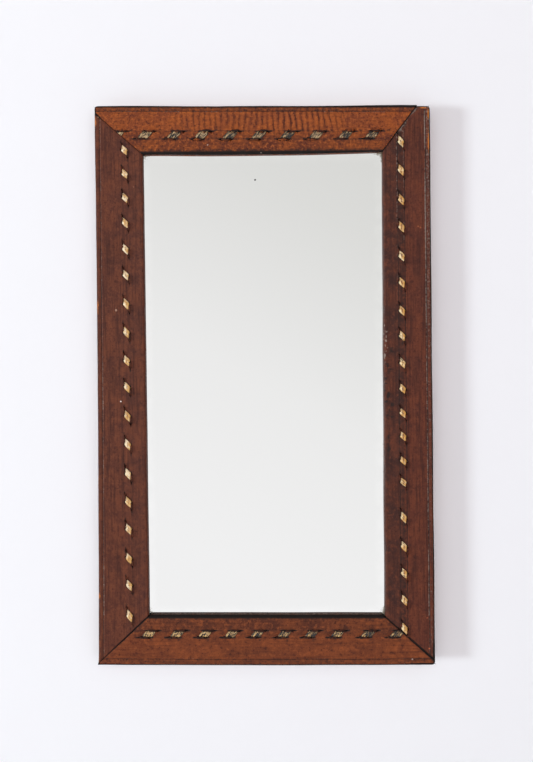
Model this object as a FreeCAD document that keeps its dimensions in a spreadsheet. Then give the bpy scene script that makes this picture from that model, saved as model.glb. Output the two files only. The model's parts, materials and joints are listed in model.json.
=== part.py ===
import FreeCAD, Part
import math
import os
import types
import Sketcher

# Leather wall mirror: four mitred wooden rails, each wrapped in leather that a flat thong is laced through,
# with a mirror in the rabbet behind them and a ring hanger on the back of the top rail.
# +X is to the right, +Z is up and the front looks along -Y.
# The origin is the nail seat: the inside of the ring's top, in the plane of the ring.

DOC = FreeCAD.newDocument("leather_wall_mirror")

DRIVING_DIMENSIONS = (
    # The frame over its leather, which leans a little out of square
    ("frame_width", 335.0),
    ("frame_height", 558.0),
    ("frame_lean", 4.4),
    ("top_rail_left_width", 48.5),
    ("top_rail_right_width", 46.6),
    ("bottom_rail_width", 49.0),
    ("side_rail_top_width", 48.0),
    ("side_rail_foot_width", 50.0),
    ("nail_drop", 10.0),
    # Wooden cores
    ("core_thickness", 18.0),
    ("lip_thickness", 4.0),
    ("rabbet_width", 8.0),
    # Leather covers
    ("leather_thickness", 2.0),
    ("skived_thickness", 0.8),
    ("flap_width", 12.0),
    ("edge_round", 1.7),
    ("crease_inset", 4.4),
    ("crease_width", 0.9),
    ("crease_depth", 0.5),
    ("seam_gap", 0.5),
    ("top_left_seam_drop", 7.0),
    ("top_right_seam_run", 13.0),
    ("bottom_left_seam_rise", 2.0),
    ("bottom_right_seam_rise", 5.0),
    # Lacing
    ("lacing_inset", 30.0),
    ("slit_line_spacing", 6.9),
    ("slit_spare", 3.5),
    ("slit_clearance", 0.15),
    ("lace_thickness", 1.0),
    ("lace_crown", 0.5),
    ("lace_crown_taper", 50.0),
    ("groove_clearance", 0.3),
    ("groove_spare", 2.0),
    ("lace_tail", 1.0),
    ("side_stitch_width", 6.0),
    ("side_stitch_shift", 5.5),
    ("cross_stitch_width", 10.0),
    ("cross_stitch_shift", 4.5),
    # First and last stitch of each rail, measured inwards from the corners of the mirror opening
    ("top_lace_start", 3.5),
    ("top_lace_end", 9.9),
    ("top_lace_stitches", 9),
    ("bottom_lace_start", -1.5),
    ("bottom_lace_end", -6.5),
    ("bottom_lace_stitches", 10),
    ("left_lace_start", -4.8),
    ("left_lace_end", 0.2),
    ("left_lace_stitches", 18),
    ("right_lace_start", -9.0),
    ("right_lace_end", -9.0),
    ("right_lace_stitches", 19),
    # Mirror and its backing
    ("glass_thickness", 3.0),
    ("glass_clearance", 1.0),
    ("card_thickness", 1.0),
    ("panel_thickness", 3.5),
    # Hand-cut tacks with eight-sided heads that hold the turned-in leather
    ("tack_inset", 6.5),
    ("tack_end_margin", 32.0),
    ("tack_head_width", 5.0),
    ("tack_head_thickness", 0.5),
    ("tack_shank_width", 1.3),
    ("tack_shank_length", 9.0),
    ("cross_tack_count", 6),
    ("side_tack_count", 10),
    # Square cut brads that hold the back panel
    ("brad_width", 1.4),
    ("brad_length", 14.0),
    ("brad_reach", 6.0),
    ("brad_end_margin", 45.0),
    # Square cut nails across the mitres, punched below the wood
    ("nail_width", 2.0),
    ("nail_length", 38.0),
    ("nail_sink", 0.5),
    ("nail_edge_distance", 14.0),
    ("nail_row_spacing", 5.0),
    # Hanger
    ("ring_wire", 2.4),
    ("ring_clearance", 0.1),
    ("ring_half_width", 7.5),
    ("ring_corner_radius", 2.5),
    ("ring_arm", 3.0),
    ("strap_thickness", 1.0),
    ("strap_width", 9.0),
    ("strap_length", 15.0),
    ("strap_fold", 5.0),
    ("screw_diameter", 3.0),
    ("screw_length", 14.0),
    ("screw_head_diameter", 6.0),
    ("screw_head_height", 1.8),
    ("screw_crown_diameter", 3.4),
    ("screw_clearance", 0.1),
    ("screw_drop", 9.6),
    ("screw_slot_width", 0.9),
    ("screw_slot_depth", 0.9),
)

BRAD_COUNT = 4

SAME_PLACE = 1e-4
ALMOST_STRAIGHT = 0.05
VOLUME_TOLERANCE = 0.02
SQUARE_CORNER = math.sqrt(2)
OCTAGON_CORNER = math.tan(math.radians(22.5))


class Size:
    """A length that holds its value and the sheet expression that drives it."""

    def __init__(self, value, text):
        self.value = float(value)
        self.text = text

    def __add__(self, other):
        other = as_size(other)
        return Size(self.value + other.value, f"({self.text} + {other.text})")

    def __sub__(self, other):
        other = as_size(other)
        return Size(self.value - other.value, f"({self.text} - {other.text})")

    def __mul__(self, factor):
        factor = as_size(factor)
        return Size(self.value * factor.value, f"({self.text} * {factor.text})")

    def __truediv__(self, divisor):
        divisor = as_size(divisor)
        return Size(self.value / divisor.value, f"({self.text} / {divisor.text})")

    def __neg__(self):
        return Size(-self.value, f"(0 - {self.text})")


def as_size(number):
    """Give a plain number the form of a Size."""
    if isinstance(number, Size):
        return number
    return Size(number, repr(float(number)))


def write_sheet():
    """Write the driving dimensions to the sheet and return each as a Size under its own name."""
    sheet = DOC.addObject("Spreadsheet::Sheet", "Sizes")
    sizes = types.SimpleNamespace()
    for row, (alias, number) in enumerate(DRIVING_DIMENSIONS, start=1):
        sheet.set(f"A{row}", alias)
        sheet.set(f"B{row}", str(number))
        sheet.setAlias(f"B{row}", alias)
        setattr(sizes, alias, Size(number, f"Sizes.{alias}"))
    DOC.recompute()
    return sizes


D = write_sheet()
ZERO = as_size(0)
RIGHT_ANGLE = Size(90, "90 deg")

# Depths are distances in front of the nail seat, from the back of the frame to its face
WOOD_BACK = D.strap_thickness + D.ring_wire / 2 + D.ring_clearance
FLAP_BACK = WOOD_BACK - D.skived_thickness
WOOD_FRONT = WOOD_BACK + D.core_thickness
LEATHER_FRONT = WOOD_FRONT + D.leather_thickness
LIP_BACK = WOOD_FRONT - D.lip_thickness
TURN_IN_BACK = LIP_BACK - D.skived_thickness
GLASS_BACK = TURN_IN_BACK - D.glass_thickness
CARD_BACK = GLASS_BACK - D.card_thickness
PANEL_BACK = CARD_BACK - D.panel_thickness

RABBET_WALL = D.leather_thickness + D.rabbet_width
HINGE_DROP = D.ring_arm + D.ring_half_width - D.ring_wire / 2
EYE_RADIUS = D.ring_wire / 2 + D.ring_clearance
LEAN_ANGLE = Size(
    math.degrees(math.atan(D.frame_lean.value / D.frame_height.value)),
    f"atan({D.frame_lean.text} / {D.frame_height.text})",
)
CORNERS = ("top_left", "top_right", "bottom_right", "bottom_left")


def outer_corner(corner, inset=ZERO):
    """Corner of the frame's outer edge over the leather, moved inwards by inset."""
    at_top = corner.startswith("top")
    at_left = corner.endswith("left")
    lean = -(D.frame_lean / 2) if at_top else D.frame_lean / 2
    x = lean - D.frame_width / 2 + inset if at_left else lean + D.frame_width / 2 - inset
    z = D.nail_drop - inset if at_top else D.nail_drop - D.frame_height + inset
    return x, z


def cross_rail_width(corner):
    """Width of the top or bottom rail at a corner of the mirror opening."""
    if corner.startswith("bottom"):
        return D.bottom_rail_width
    return D.top_rail_left_width if corner.endswith("left") else D.top_rail_right_width


def sight_corner(corner, outset=ZERO):
    """Corner of the leather's inner edge round the mirror, moved outwards by outset."""
    at_top = corner.startswith("top")
    side_width = D.side_rail_top_width if at_top else D.side_rail_foot_width
    x, z = outer_corner(corner)
    x = x + side_width - outset if corner.endswith("left") else x - side_width + outset
    across = cross_rail_width(corner) - outset
    z = z - across if at_top else z + across
    return x, z


def moved(point, x=ZERO, z=ZERO):
    """Point moved by x and z."""
    return point[0] + x, point[1] + z


class Rail:
    """One side of the frame: where its length starts, which way it runs and how it is laced."""

    def __init__(self, name, start, end, inward, cover_outline):
        self.name = name
        self.start = start
        self.end = end
        self.inward = inward
        self.cover_outline = cover_outline
        self.upright = name in ("left", "right")
        self.turn = LEAN_ANGLE - RIGHT_ANGLE if self.upright else ZERO
        self.length = D.frame_height if self.upright else D.frame_width
        self.stitch_width = D.side_stitch_width if self.upright else D.cross_stitch_width
        self.stitch_shift = D.side_stitch_shift if self.upright else D.cross_stitch_shift
        self.tack_count = D.side_tack_count if self.upright else D.cross_tack_count
        if self.upright:
            start_width, end_width = cross_rail_width(start), cross_rail_width(end)
        elif name == "top":
            start_width = end_width = D.side_rail_top_width
        else:
            start_width = end_width = D.side_rail_foot_width
        self.lace_stitches = getattr(D, f"{name}_lace_stitches")
        self.lace_start = start_width + getattr(D, f"{name}_lace_start")
        lace_end = self.length - end_width - getattr(D, f"{name}_lace_end")
        self.lace_pitch = (lace_end - self.lace_start) / (self.lace_stitches - 1)

    def from_edge(self, distance):
        """Place across the rail, in its own sketches, at a distance in from its outer edge."""
        return distance * self.inward


def seam_points():
    """Ends of each leather seam on the outer edge, which miss the true corners by a hand's cut."""
    return {
        "top_left": moved(outer_corner("top_left"), z=-D.top_left_seam_drop),
        "top_right": moved(outer_corner("top_right"), x=-D.top_right_seam_run),
        "bottom_right": moved(outer_corner("bottom_right"), z=D.bottom_right_seam_rise),
        "bottom_left": moved(outer_corner("bottom_left"), z=D.bottom_left_seam_rise),
    }


def make_rails():
    """Describe the four rails, each with the outline of its leather between the seams."""
    seam = seam_points()
    gap = D.seam_gap
    top_outline = (
        moved(seam["top_left"], z=gap),
        outer_corner("top_left"),
        moved(seam["top_right"], x=-gap),
        moved(sight_corner("top_right"), x=-gap),
        moved(sight_corner("top_left"), x=gap),
    )
    right_outline = (
        moved(seam["top_right"], x=gap),
        outer_corner("top_right"),
        moved(seam["bottom_right"], z=gap),
        moved(sight_corner("bottom_right"), z=gap),
        moved(sight_corner("top_right"), z=-gap),
    )
    bottom_outline = (
        moved(seam["bottom_right"], z=-gap),
        outer_corner("bottom_right"),
        outer_corner("bottom_left"),
        moved(seam["bottom_left"], z=-gap),
        moved(sight_corner("bottom_left"), x=gap),
        moved(sight_corner("bottom_right"), x=-gap),
    )
    left_outline = (
        moved(seam["bottom_left"], z=gap),
        moved(seam["top_left"], z=-gap),
        moved(sight_corner("top_left"), z=-gap),
        moved(sight_corner("bottom_left"), z=gap),
    )
    return (
        Rail("top", "top_left", "top_right", -1, top_outline),
        Rail("bottom", "bottom_left", "bottom_right", 1, bottom_outline),
        Rail("left", "top_left", "bottom_left", 1, left_outline),
        Rail("right", "top_right", "bottom_right", -1, right_outline),
    )


# Small helpers for sketches and features


def bind(thing, path, size):
    """Tie a property to the sheet."""
    thing.setExpression(path, as_size(size).text)


def new_body(name):
    """Start a body that may hold several separate solids."""
    body = DOC.addObject("PartDesign::Body", name)
    body.Label = name
    body.AllowCompound = True
    return body


def origin_plane(body, role):
    """One of the body's own origin planes."""
    return next(plane for plane in body.Origin.OriginFeatures if plane.Role == role)


def new_sketch(body, name, role, offset, turn=ZERO):
    """Sketch on an origin plane, moved by an (across, up, out) offset and turned in its plane."""
    sketch = body.newObject("Sketcher::SketchObject", name)
    sketch.AttachmentSupport = [(origin_plane(body, role), "")]
    sketch.MapMode = "FlatFace"
    start = FreeCAD.Vector(offset[0].value, offset[1].value, offset[2].value)
    sketch.AttachmentOffset = FreeCAD.Placement(start, FreeCAD.Rotation(FreeCAD.Vector(0, 0, 1), turn.value))
    for axis, size in zip("xyz", offset):
        bind(sketch, f"AttachmentOffset.Base.{axis}", size)
    bind(sketch, "AttachmentOffset.Rotation.Angle", turn)
    return sketch


def front_sketch(body, name, depth):
    """Sketch in X and Z on a plane at a depth in front of the nail seat."""
    return new_sketch(body, name, "XZ_Plane", (ZERO, ZERO, depth))


def rail_sketch(body, name, depth, rail):
    """Sketch at a depth in front of the nail seat, with its first axis along a rail from its start."""
    x, z = outer_corner(rail.start)
    return new_sketch(body, name, "XZ_Plane", (x, z, depth), rail.turn)


def fix_point(sketch, geometry, end, x, y):
    """Tie one end of a sketch curve to a place measured from the sketch's origin."""
    for direction, size in (("DistanceX", x), ("DistanceY", y)):
        if size is not None:
            index = sketch.addConstraint(Sketcher.Constraint(direction, -1, 1, geometry, end, size.value))
            bind(sketch, f"Constraints[{index}]", size)


def draw_polygon(sketch, corners):
    """Draw a closed outline through corners given as pairs of Sizes."""
    first = sketch.GeometryCount
    count = len(corners)
    points = [FreeCAD.Vector(x.value, y.value, 0) for x, y in corners]
    for index in range(count):
        sketch.addGeometry(Part.LineSegment(points[index], points[(index + 1) % count]), False)
    for index in range(count):
        following = first + (index + 1) % count
        sketch.addConstraint(Sketcher.Constraint("Coincident", first + index, 2, following, 1))
    for index, (x, y) in enumerate(corners):
        fix_point(sketch, first + index, 1, x, y)


def draw_box(sketch, left, right, low, high):
    """Draw a rectangle between four Sizes."""
    draw_polygon(sketch, ((left, low), (right, low), (right, high), (left, high)))


def draw_octagon(sketch, x, y, half_width):
    """Draw an eight-sided outline about its middle."""
    short = half_width * OCTAGON_CORNER
    draw_polygon(sketch, (
        (x + half_width, y - short),
        (x + half_width, y + short),
        (x + short, y + half_width),
        (x - short, y + half_width),
        (x - half_width, y + short),
        (x - half_width, y - short),
        (x - short, y - half_width),
        (x + short, y - half_width),
    ))


def draw_circle(sketch, x, y, radius):
    """Draw a circle tied to its centre and radius."""
    circle = Part.Circle(FreeCAD.Vector(x.value, y.value, 0), FreeCAD.Vector(0, 0, 1), radius.value)
    geometry = sketch.addGeometry(circle, False)
    fix_point(sketch, geometry, 3, x, y)
    index = sketch.addConstraint(Sketcher.Constraint("Radius", geometry, radius.value))
    bind(sketch, f"Constraints[{index}]", radius)


def pad(body, sketch, length):
    """Raise a sketch along its own normal."""
    feature = body.newObject("PartDesign::Pad", f"{sketch.Name}_pad")
    feature.Profile = sketch
    bind(feature, "Length", length)
    return feature


def pocket(body, sketch, length, along_normal):
    """Sink a sketch into the body, along its normal or against it, and make sure that it cuts."""
    DOC.recompute()
    before = body.Shape.Volume
    feature = body.newObject("PartDesign::Pocket", f"{sketch.Name}_pocket")
    feature.Profile = sketch
    feature.Reversed = along_normal
    bind(feature, "Length", length)
    DOC.recompute()
    if body.Shape.Volume >= before:
        raise RuntimeError(f"{feature.Name} cuts nothing")
    return feature


def repeat_along(body, features, sketch, pitch, count):
    """Repeat features along a sketch's first axis, at a steady pitch."""
    pattern = body.newObject("PartDesign::LinearPattern", f"{features[0].Name}_row")
    pattern.Originals = features
    pattern.Direction = (sketch, ["H_Axis"])
    bind(pattern, "Length", pitch * (count - 1))
    bind(pattern, "Occurrences", count)
    body.Tip = pattern
    return pattern


def cut_holes(name, base, tools):
    """Cut the holes that a piece's own fasteners fill, and give the result the piece's name."""
    group = DOC.addObject("Part::Compound", f"{name}_fasteners")
    group.Links = tools
    result = DOC.addObject("Part::Cut", name)
    result.Base = base
    result.Tool = group
    result.Label = name
    return result


# Wooden cores


def make_core(rail):
    """Mitred wooden rail with a rabbet behind its lip and its share of the groove under the lacing."""
    body = new_body(f"{rail.name}_core")
    outline = front_sketch(body, f"{rail.name}_core_outline", WOOD_BACK)
    draw_polygon(outline, (
        outer_corner(rail.start, D.leather_thickness),
        outer_corner(rail.end, D.leather_thickness),
        sight_corner(rail.end, D.leather_thickness),
        sight_corner(rail.start, D.leather_thickness),
    ))
    pad(body, outline, D.core_thickness)
    rabbet = front_sketch(body, f"{rail.name}_rabbet", WOOD_BACK)
    draw_polygon(rabbet, [sight_corner(corner, RABBET_WALL) for corner in CORNERS])
    pocket(body, rabbet, D.core_thickness - D.lip_thickness, along_normal=True)
    groove = front_sketch(body, f"{rail.name}_groove", WOOD_FRONT)
    half_width = (D.slit_line_spacing + D.lace_thickness) / 2 + D.groove_spare
    for edge in (D.lacing_inset - half_width, D.lacing_inset + half_width):
        draw_polygon(groove, [outer_corner(corner, edge) for corner in CORNERS])
    pocket(body, groove, D.lace_thickness + D.groove_clearance, along_normal=False)
    return body


# Leather covers


def round_long_edges(body, feature, rail):
    """Round the front edges along the outside of the frame and round the mirror, but not the seams."""
    DOC.recompute()
    names = []
    for index, edge in enumerate(feature.Shape.Edges, start=1):
        start, end = (vertex.Point for vertex in edge.Vertexes)
        run = end - start
        off_face = max(abs(start.y + LEATHER_FRONT.value), abs(end.y + LEATHER_FRONT.value))
        slant = min(abs(run.x), abs(run.z)) / run.Length
        if off_face < SAME_PLACE and slant < ALMOST_STRAIGHT:
            names.append(f"Edge{index}")
    fillet = body.newObject("PartDesign::Fillet", f"{rail.name}_cover_edges")
    fillet.Base = (feature, names)
    bind(fillet, "Radius", D.edge_round)


def make_slits(body, rail):
    """Cut the two lines of slits, each longer than the lace by a spare end that stays open."""
    sketch = rail_sketch(body, f"{rail.name}_slits", LEATHER_FRONT, rail)
    middle = rail.from_edge(D.lacing_inset)
    half_slit = D.lace_thickness / 2 + D.slit_clearance
    half_stitch = rail.stitch_width / 2 + D.slit_clearance
    for side in (-1, 1):
        line = middle + D.slit_line_spacing / 2 * side
        centre = rail.lace_start + rail.stitch_shift / 2 * side
        low = centre - half_stitch - (D.slit_spare if side < 0 else ZERO)
        high = centre + half_stitch + (D.slit_spare if side > 0 else ZERO)
        draw_box(sketch, low, high, line - half_slit, line + half_slit)
    slits = pocket(body, sketch, D.leather_thickness, along_normal=False)
    repeat_along(body, [slits], sketch, rail.lace_pitch, rail.lace_stitches)


def make_cover(rail):
    """Leather wrapped round a core: face, outer side, back flap, lip and a thin turn-in in the rabbet."""
    body = new_body(f"{rail.name}_leather")
    outline = front_sketch(body, f"{rail.name}_cover_outline", FLAP_BACK)
    draw_polygon(outline, rail.cover_outline)
    block = pad(body, outline, LEATHER_FRONT - FLAP_BACK)
    round_long_edges(body, block, rail)

    back_opening = front_sketch(body, f"{rail.name}_back_opening", FLAP_BACK)
    draw_polygon(back_opening, [outer_corner(corner, D.flap_width) for corner in CORNERS])
    pocket(body, back_opening, D.skived_thickness, along_normal=True)

    core_space = front_sketch(body, f"{rail.name}_core_space", WOOD_BACK)
    draw_polygon(core_space, [outer_corner(corner, D.leather_thickness) for corner in CORNERS])
    draw_polygon(core_space, [sight_corner(corner, RABBET_WALL) for corner in CORNERS])
    pocket(body, core_space, D.core_thickness, along_normal=True)

    rabbet_space = front_sketch(body, f"{rail.name}_rabbet_space", WOOD_BACK)
    draw_polygon(rabbet_space, [sight_corner(corner, RABBET_WALL) for corner in CORNERS])
    pocket(body, rabbet_space, TURN_IN_BACK - WOOD_BACK, along_normal=True)

    lip_space = front_sketch(body, f"{rail.name}_lip_space", LIP_BACK)
    draw_polygon(lip_space, [sight_corner(corner, RABBET_WALL) for corner in CORNERS])
    draw_polygon(lip_space, [sight_corner(corner, D.leather_thickness) for corner in CORNERS])
    pocket(body, lip_space, D.lip_thickness, along_normal=True)

    crease = front_sketch(body, f"{rail.name}_crease", LEATHER_FRONT)
    draw_polygon(crease, [outer_corner(corner, D.crease_inset) for corner in CORNERS])
    draw_polygon(crease, [outer_corner(corner, D.crease_inset + D.crease_width) for corner in CORNERS])
    pocket(body, crease, D.crease_depth, along_normal=False)

    make_slits(body, rail)
    return body


# Lacing


def make_lace(rail):
    """One flat thong, over the face through a slit, back under the leather and up through the next."""
    name = f"{rail.name}_lace"
    body = new_body(name)
    middle = rail.from_edge(D.lacing_inset)
    half_lines = D.slit_line_spacing / 2
    half_leg = D.lace_thickness / 2
    half_width = rail.stitch_width / 2
    half_shift = rail.stitch_shift / 2
    start = rail.lace_start

    def slanted(low_centre, high_centre):
        """Outline of a stretch of lace from the first slit line to the second, by its middle on each."""
        low = middle - half_lines - half_leg
        high = middle + half_lines + half_leg
        return (
            (low_centre - half_width, low),
            (low_centre + half_width, low),
            (high_centre + half_width, high),
            (high_centre - half_width, high),
        )

    over = rail_sketch(body, f"{name}_over", LEATHER_FRONT, rail)
    draw_polygon(over, slanted(start - half_shift, start + half_shift))
    over_pad = pad(body, over, D.lace_thickness - D.lace_crown)
    crown = rail_sketch(body, f"{name}_crown", LEATHER_FRONT + D.lace_thickness - D.lace_crown, rail)
    draw_polygon(crown, slanted(start - half_shift, start + half_shift))
    crown_pad = pad(body, crown, D.lace_crown)
    bind(crown_pad, "TaperAngle", -D.lace_crown_taper)

    legs = rail_sketch(body, f"{name}_legs", WOOD_FRONT - D.lace_thickness, rail)
    for side in (-1, 1):
        line = middle + half_lines * side
        centre = start + half_shift * side
        draw_box(legs, centre - half_width, centre + half_width, line - half_leg, line + half_leg)
    legs_pad = pad(body, legs, D.leather_thickness + D.lace_thickness)
    repeat_along(body, [over_pad, crown_pad, legs_pad], legs, rail.lace_pitch, rail.lace_stitches)

    under = rail_sketch(body, f"{name}_under", WOOD_FRONT - D.lace_thickness, rail)
    draw_polygon(under, slanted(start + rail.lace_pitch - half_shift, start + half_shift))
    under_pad = pad(body, under, D.lace_thickness)
    repeat_along(body, [under_pad], under, rail.lace_pitch, rail.lace_stitches - 1)

    last = start + rail.lace_pitch * (rail.lace_stitches - 1)
    tails = rail_sketch(body, f"{name}_tails", WOOD_FRONT - D.lace_thickness, rail)
    draw_polygon(tails, slanted(start - half_shift, start - half_shift - D.lace_tail))
    draw_polygon(tails, slanted(last + half_shift + D.lace_tail, last + half_shift))
    pad(body, tails, D.lace_thickness)
    return body


# Mirror and backing


def make_sheet(name, back, thickness):
    """Flat sheet in the rabbet, cut to follow the leaning opening with clearance all round."""
    body = new_body(name)
    outline = front_sketch(body, f"{name}_outline", back)
    edge = RABBET_WALL - D.glass_clearance
    draw_polygon(outline, [sight_corner(corner, edge) for corner in CORNERS])
    pad(body, outline, thickness)
    return body


# Tacks, brads and nails


def make_tacks(rail):
    """Row of tacks through the turned-in leather, heads let in flush with its back."""
    name = f"{rail.name}_tacks"
    body = new_body(name)
    across = rail.from_edge(D.tack_inset)
    heads = rail_sketch(body, f"{name}_heads", FLAP_BACK, rail)
    draw_octagon(heads, D.tack_end_margin, across, D.tack_head_width / 2)
    head_pad = pad(body, heads, D.tack_head_thickness)
    shanks = rail_sketch(body, f"{name}_shanks", FLAP_BACK, rail)
    half = D.tack_shank_width / 2
    draw_box(shanks, D.tack_end_margin - half, D.tack_end_margin + half, across - half, across + half)
    shank_pad = pad(body, shanks, D.tack_head_thickness + D.tack_shank_length)
    pitch = (rail.length - D.tack_end_margin * 2) / (rail.tack_count - 1)
    repeat_along(body, [head_pad, shank_pad], heads, pitch, rail.tack_count)
    return body


def make_pin(name, place, direction, width, length):
    """Square cut pin from a place given as three Sizes, along a direction."""
    pin = DOC.addObject("Part::Prism", name)
    pin.Polygon = 4
    bind(pin, "Circumradius", width / 2 * SQUARE_CORNER)
    bind(pin, "Height", length)
    start = FreeCAD.Vector(*(size.value for size in place))
    up = FreeCAD.Vector(0, 0, 1)
    flats_level = FreeCAD.Rotation(up, 45)
    pin.Placement = FreeCAD.Placement(start, FreeCAD.Rotation(up, direction) * flats_level)
    for axis, size in zip("xyz", place):
        bind(pin, f"Placement.Base.{axis}", size)
    return pin


def between(start, end, share):
    """Place part of the way from one point to another."""
    return start[0] + (end[0] - start[0]) * share, start[1] + (end[1] - start[1]) * share


def make_brads(rail):
    """Brads driven into the rabbet wall, lying on the back panel."""
    name = f"{rail.name}_brads"
    wall_start = sight_corner(rail.start, RABBET_WALL)
    wall_end = sight_corner(rail.end, RABBET_WALL)
    run = rail.length - D.side_rail_top_width * 2
    depth = D.brad_width / 2 - PANEL_BACK
    pins = []
    for index in range(BRAD_COUNT):
        step = (run - D.brad_end_margin * 2) / (BRAD_COUNT - 1)
        share = (D.brad_end_margin + step * index) / run
        x, z = between(wall_start, wall_end, share)
        reach = D.brad_reach * rail.inward
        if rail.upright:
            place = (x + reach, depth, z)
            direction = FreeCAD.Vector(-rail.inward, 0, 0)
        else:
            place = (x, depth, z + reach)
            direction = FreeCAD.Vector(0, 0, -rail.inward)
        pins.append(make_pin(f"{name}_{index + 1}", place, direction, D.brad_width, D.brad_length))
    return pins


def group_solids(name, solids):
    """Keep identical fasteners as separate solids under one name."""
    group = DOC.addObject("Part::Compound", name)
    group.Links = solids
    group.Label = name
    return group


def make_corner_nails():
    """Two nails across each mitre, one down from the end rail and one in from the side rail."""
    middle_depth = -(WOOD_BACK + D.core_thickness / 2)
    pins = []
    for corner in CORNERS:
        into_x = 1 if corner.endswith("left") else -1
        into_z = -1 if corner.startswith("top") else 1
        x, z = outer_corner(corner, D.leather_thickness + D.nail_sink)
        down_place = (x + D.nail_edge_distance * into_x, middle_depth + D.nail_row_spacing / 2, z)
        side_place = (x, middle_depth - D.nail_row_spacing / 2, z + D.nail_edge_distance * into_z)
        down = FreeCAD.Vector(0, 0, into_z)
        sideways = FreeCAD.Vector(into_x, 0, 0)
        pins.append(make_pin(f"{corner}_end_nail", down_place, down, D.nail_width, D.nail_length))
        pins.append(make_pin(f"{corner}_side_nail", side_place, sideways, D.nail_width, D.nail_length))
    return group_solids("corner_nails", pins)


# Ring hanger


def hanger_sketch(body, name, across=ZERO, drop=ZERO):
    """Sketch in Y and Z with its origin on the ring's hinge axis, or a drop below it."""
    return new_sketch(body, name, "YZ_Plane", (ZERO, -(HINGE_DROP + drop), across))


def draw_eye(sketch, radius, inside):
    """Half-round top of the folded strap, its two layers straight down from it and then together."""
    top = Part.Circle(FreeCAD.Vector(0, 0, 0), FreeCAD.Vector(0, 0, 1), radius.value)
    arc = sketch.addGeometry(Part.ArcOfCircle(top, 0, math.pi), False)
    sketch.addConstraint(Sketcher.Constraint("Coincident", arc, 3, -1, 1))
    fix_point(sketch, arc, 1, radius, ZERO)
    fix_point(sketch, arc, 2, None, ZERO)
    if inside:
        points = ((-radius, ZERO), (-radius, -D.strap_fold), (radius, -(EYE_RADIUS / 2)), (radius, ZERO))
    else:
        back_face = D.strap_thickness * 2 - radius
        points = (
            (-radius, ZERO),
            (-radius, -D.strap_length),
            (back_face, -D.strap_length),
            (back_face, -D.strap_fold),
            (radius, -(EYE_RADIUS / 2)),
            (radius, ZERO),
        )
    first = sketch.GeometryCount
    vectors = [FreeCAD.Vector(x.value, y.value, 0) for x, y in points]
    for start, end in zip(vectors, vectors[1:]):
        sketch.addGeometry(Part.LineSegment(start, end), False)
    last = sketch.GeometryCount - 1
    sketch.addConstraint(Sketcher.Constraint("Coincident", first, 1, arc, 2))
    sketch.addConstraint(Sketcher.Constraint("Coincident", last, 2, arc, 1))
    for line in range(first, last):
        sketch.addConstraint(Sketcher.Constraint("Coincident", line, 2, line + 1, 1))
        fix_point(sketch, line, 2, *points[line - first + 1])


def make_strap():
    """Strip of sheet steel folded round the ring's bar, both layers under one screw."""
    body = new_body("hanger_strap")
    profile = hanger_sketch(body, "strap_profile", across=-(D.strap_width / 2))
    draw_eye(profile, EYE_RADIUS + D.strap_thickness, inside=False)
    draw_eye(profile, EYE_RADIUS, inside=True)
    pad(body, profile, D.strap_width)
    hole = new_sketch(body, "strap_hole", "XZ_Plane", (ZERO, -(HINGE_DROP + D.screw_drop), WOOD_BACK))
    draw_circle(hole, ZERO, ZERO, D.screw_diameter / 2 + D.screw_clearance)
    pocket(body, hole, D.strap_thickness * 2, along_normal=False)
    return body


def make_ring():
    """D-shaped ring of round wire, its straight bar in the strap's eye."""
    body = new_body("hanger_ring")
    half = D.ring_half_width
    corner = D.ring_corner_radius
    arm = D.ring_arm
    inner = half - corner

    def line(start, end):
        """Straight stretch of the wire's centre line."""
        return Part.LineSegment(*(FreeCAD.Vector(x.value, y.value, 0) for x, y in (start, end)))

    def bend(x, y, radius, start_degrees, end_degrees):
        """Bend of the wire's centre line about a centre."""
        circle = Part.Circle(FreeCAD.Vector(x.value, y.value, 0), FreeCAD.Vector(0, 0, 1), radius.value)
        return Part.ArcOfCircle(circle, math.radians(start_degrees), math.radians(end_degrees))

    path = new_sketch(body, "ring_path", "XZ_Plane", (ZERO, -HINGE_DROP, ZERO))
    bar = path.addGeometry(line((-inner, ZERO), (inner, ZERO)), False)
    right_bend = path.addGeometry(bend(inner, corner, corner, -90, 0), False)
    right_arm = path.addGeometry(line((half, corner), (half, arm)), False)
    crown = path.addGeometry(bend(ZERO, arm, half, 0, 180), False)
    left_arm = path.addGeometry(line((-half, arm), (-half, corner)), False)
    left_bend = path.addGeometry(bend(-inner, corner, corner, 180, 270), False)
    chain = (bar, right_bend, right_arm, crown, left_arm, left_bend)
    for curve, following in zip(chain, chain[1:] + chain[:1]):
        path.addConstraint(Sketcher.Constraint("Coincident", curve, 2, following, 1))
    fix_point(path, bar, 1, -inner, ZERO)
    fix_point(path, bar, 2, inner, ZERO)
    fix_point(path, right_arm, 1, half, corner)
    fix_point(path, right_arm, 2, half, arm)
    fix_point(path, left_arm, 1, -half, arm)
    fix_point(path, left_arm, 2, -half, corner)
    fix_point(path, right_bend, 3, inner, None)
    fix_point(path, crown, 3, None, arm)
    fix_point(path, left_bend, 3, -inner, None)

    wire = hanger_sketch(body, "ring_wire_section", across=-inner)
    draw_circle(wire, ZERO, ZERO, D.ring_wire / 2)
    DOC.recompute()
    pipe = body.newObject("PartDesign::AdditivePipe", "ring_pipe")
    pipe.Profile = wire
    pipe.Spine = (path, [f"Edge{index}" for index in range(1, len(chain) + 1)])
    DOC.recompute()
    expected = path.Shape.Length * math.pi * (D.ring_wire.value / 2) ** 2
    if abs(body.Shape.Volume - expected) > VOLUME_TOLERANCE * expected:
        raise RuntimeError("the ring's wire is not its path times its section")
    return body


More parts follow.
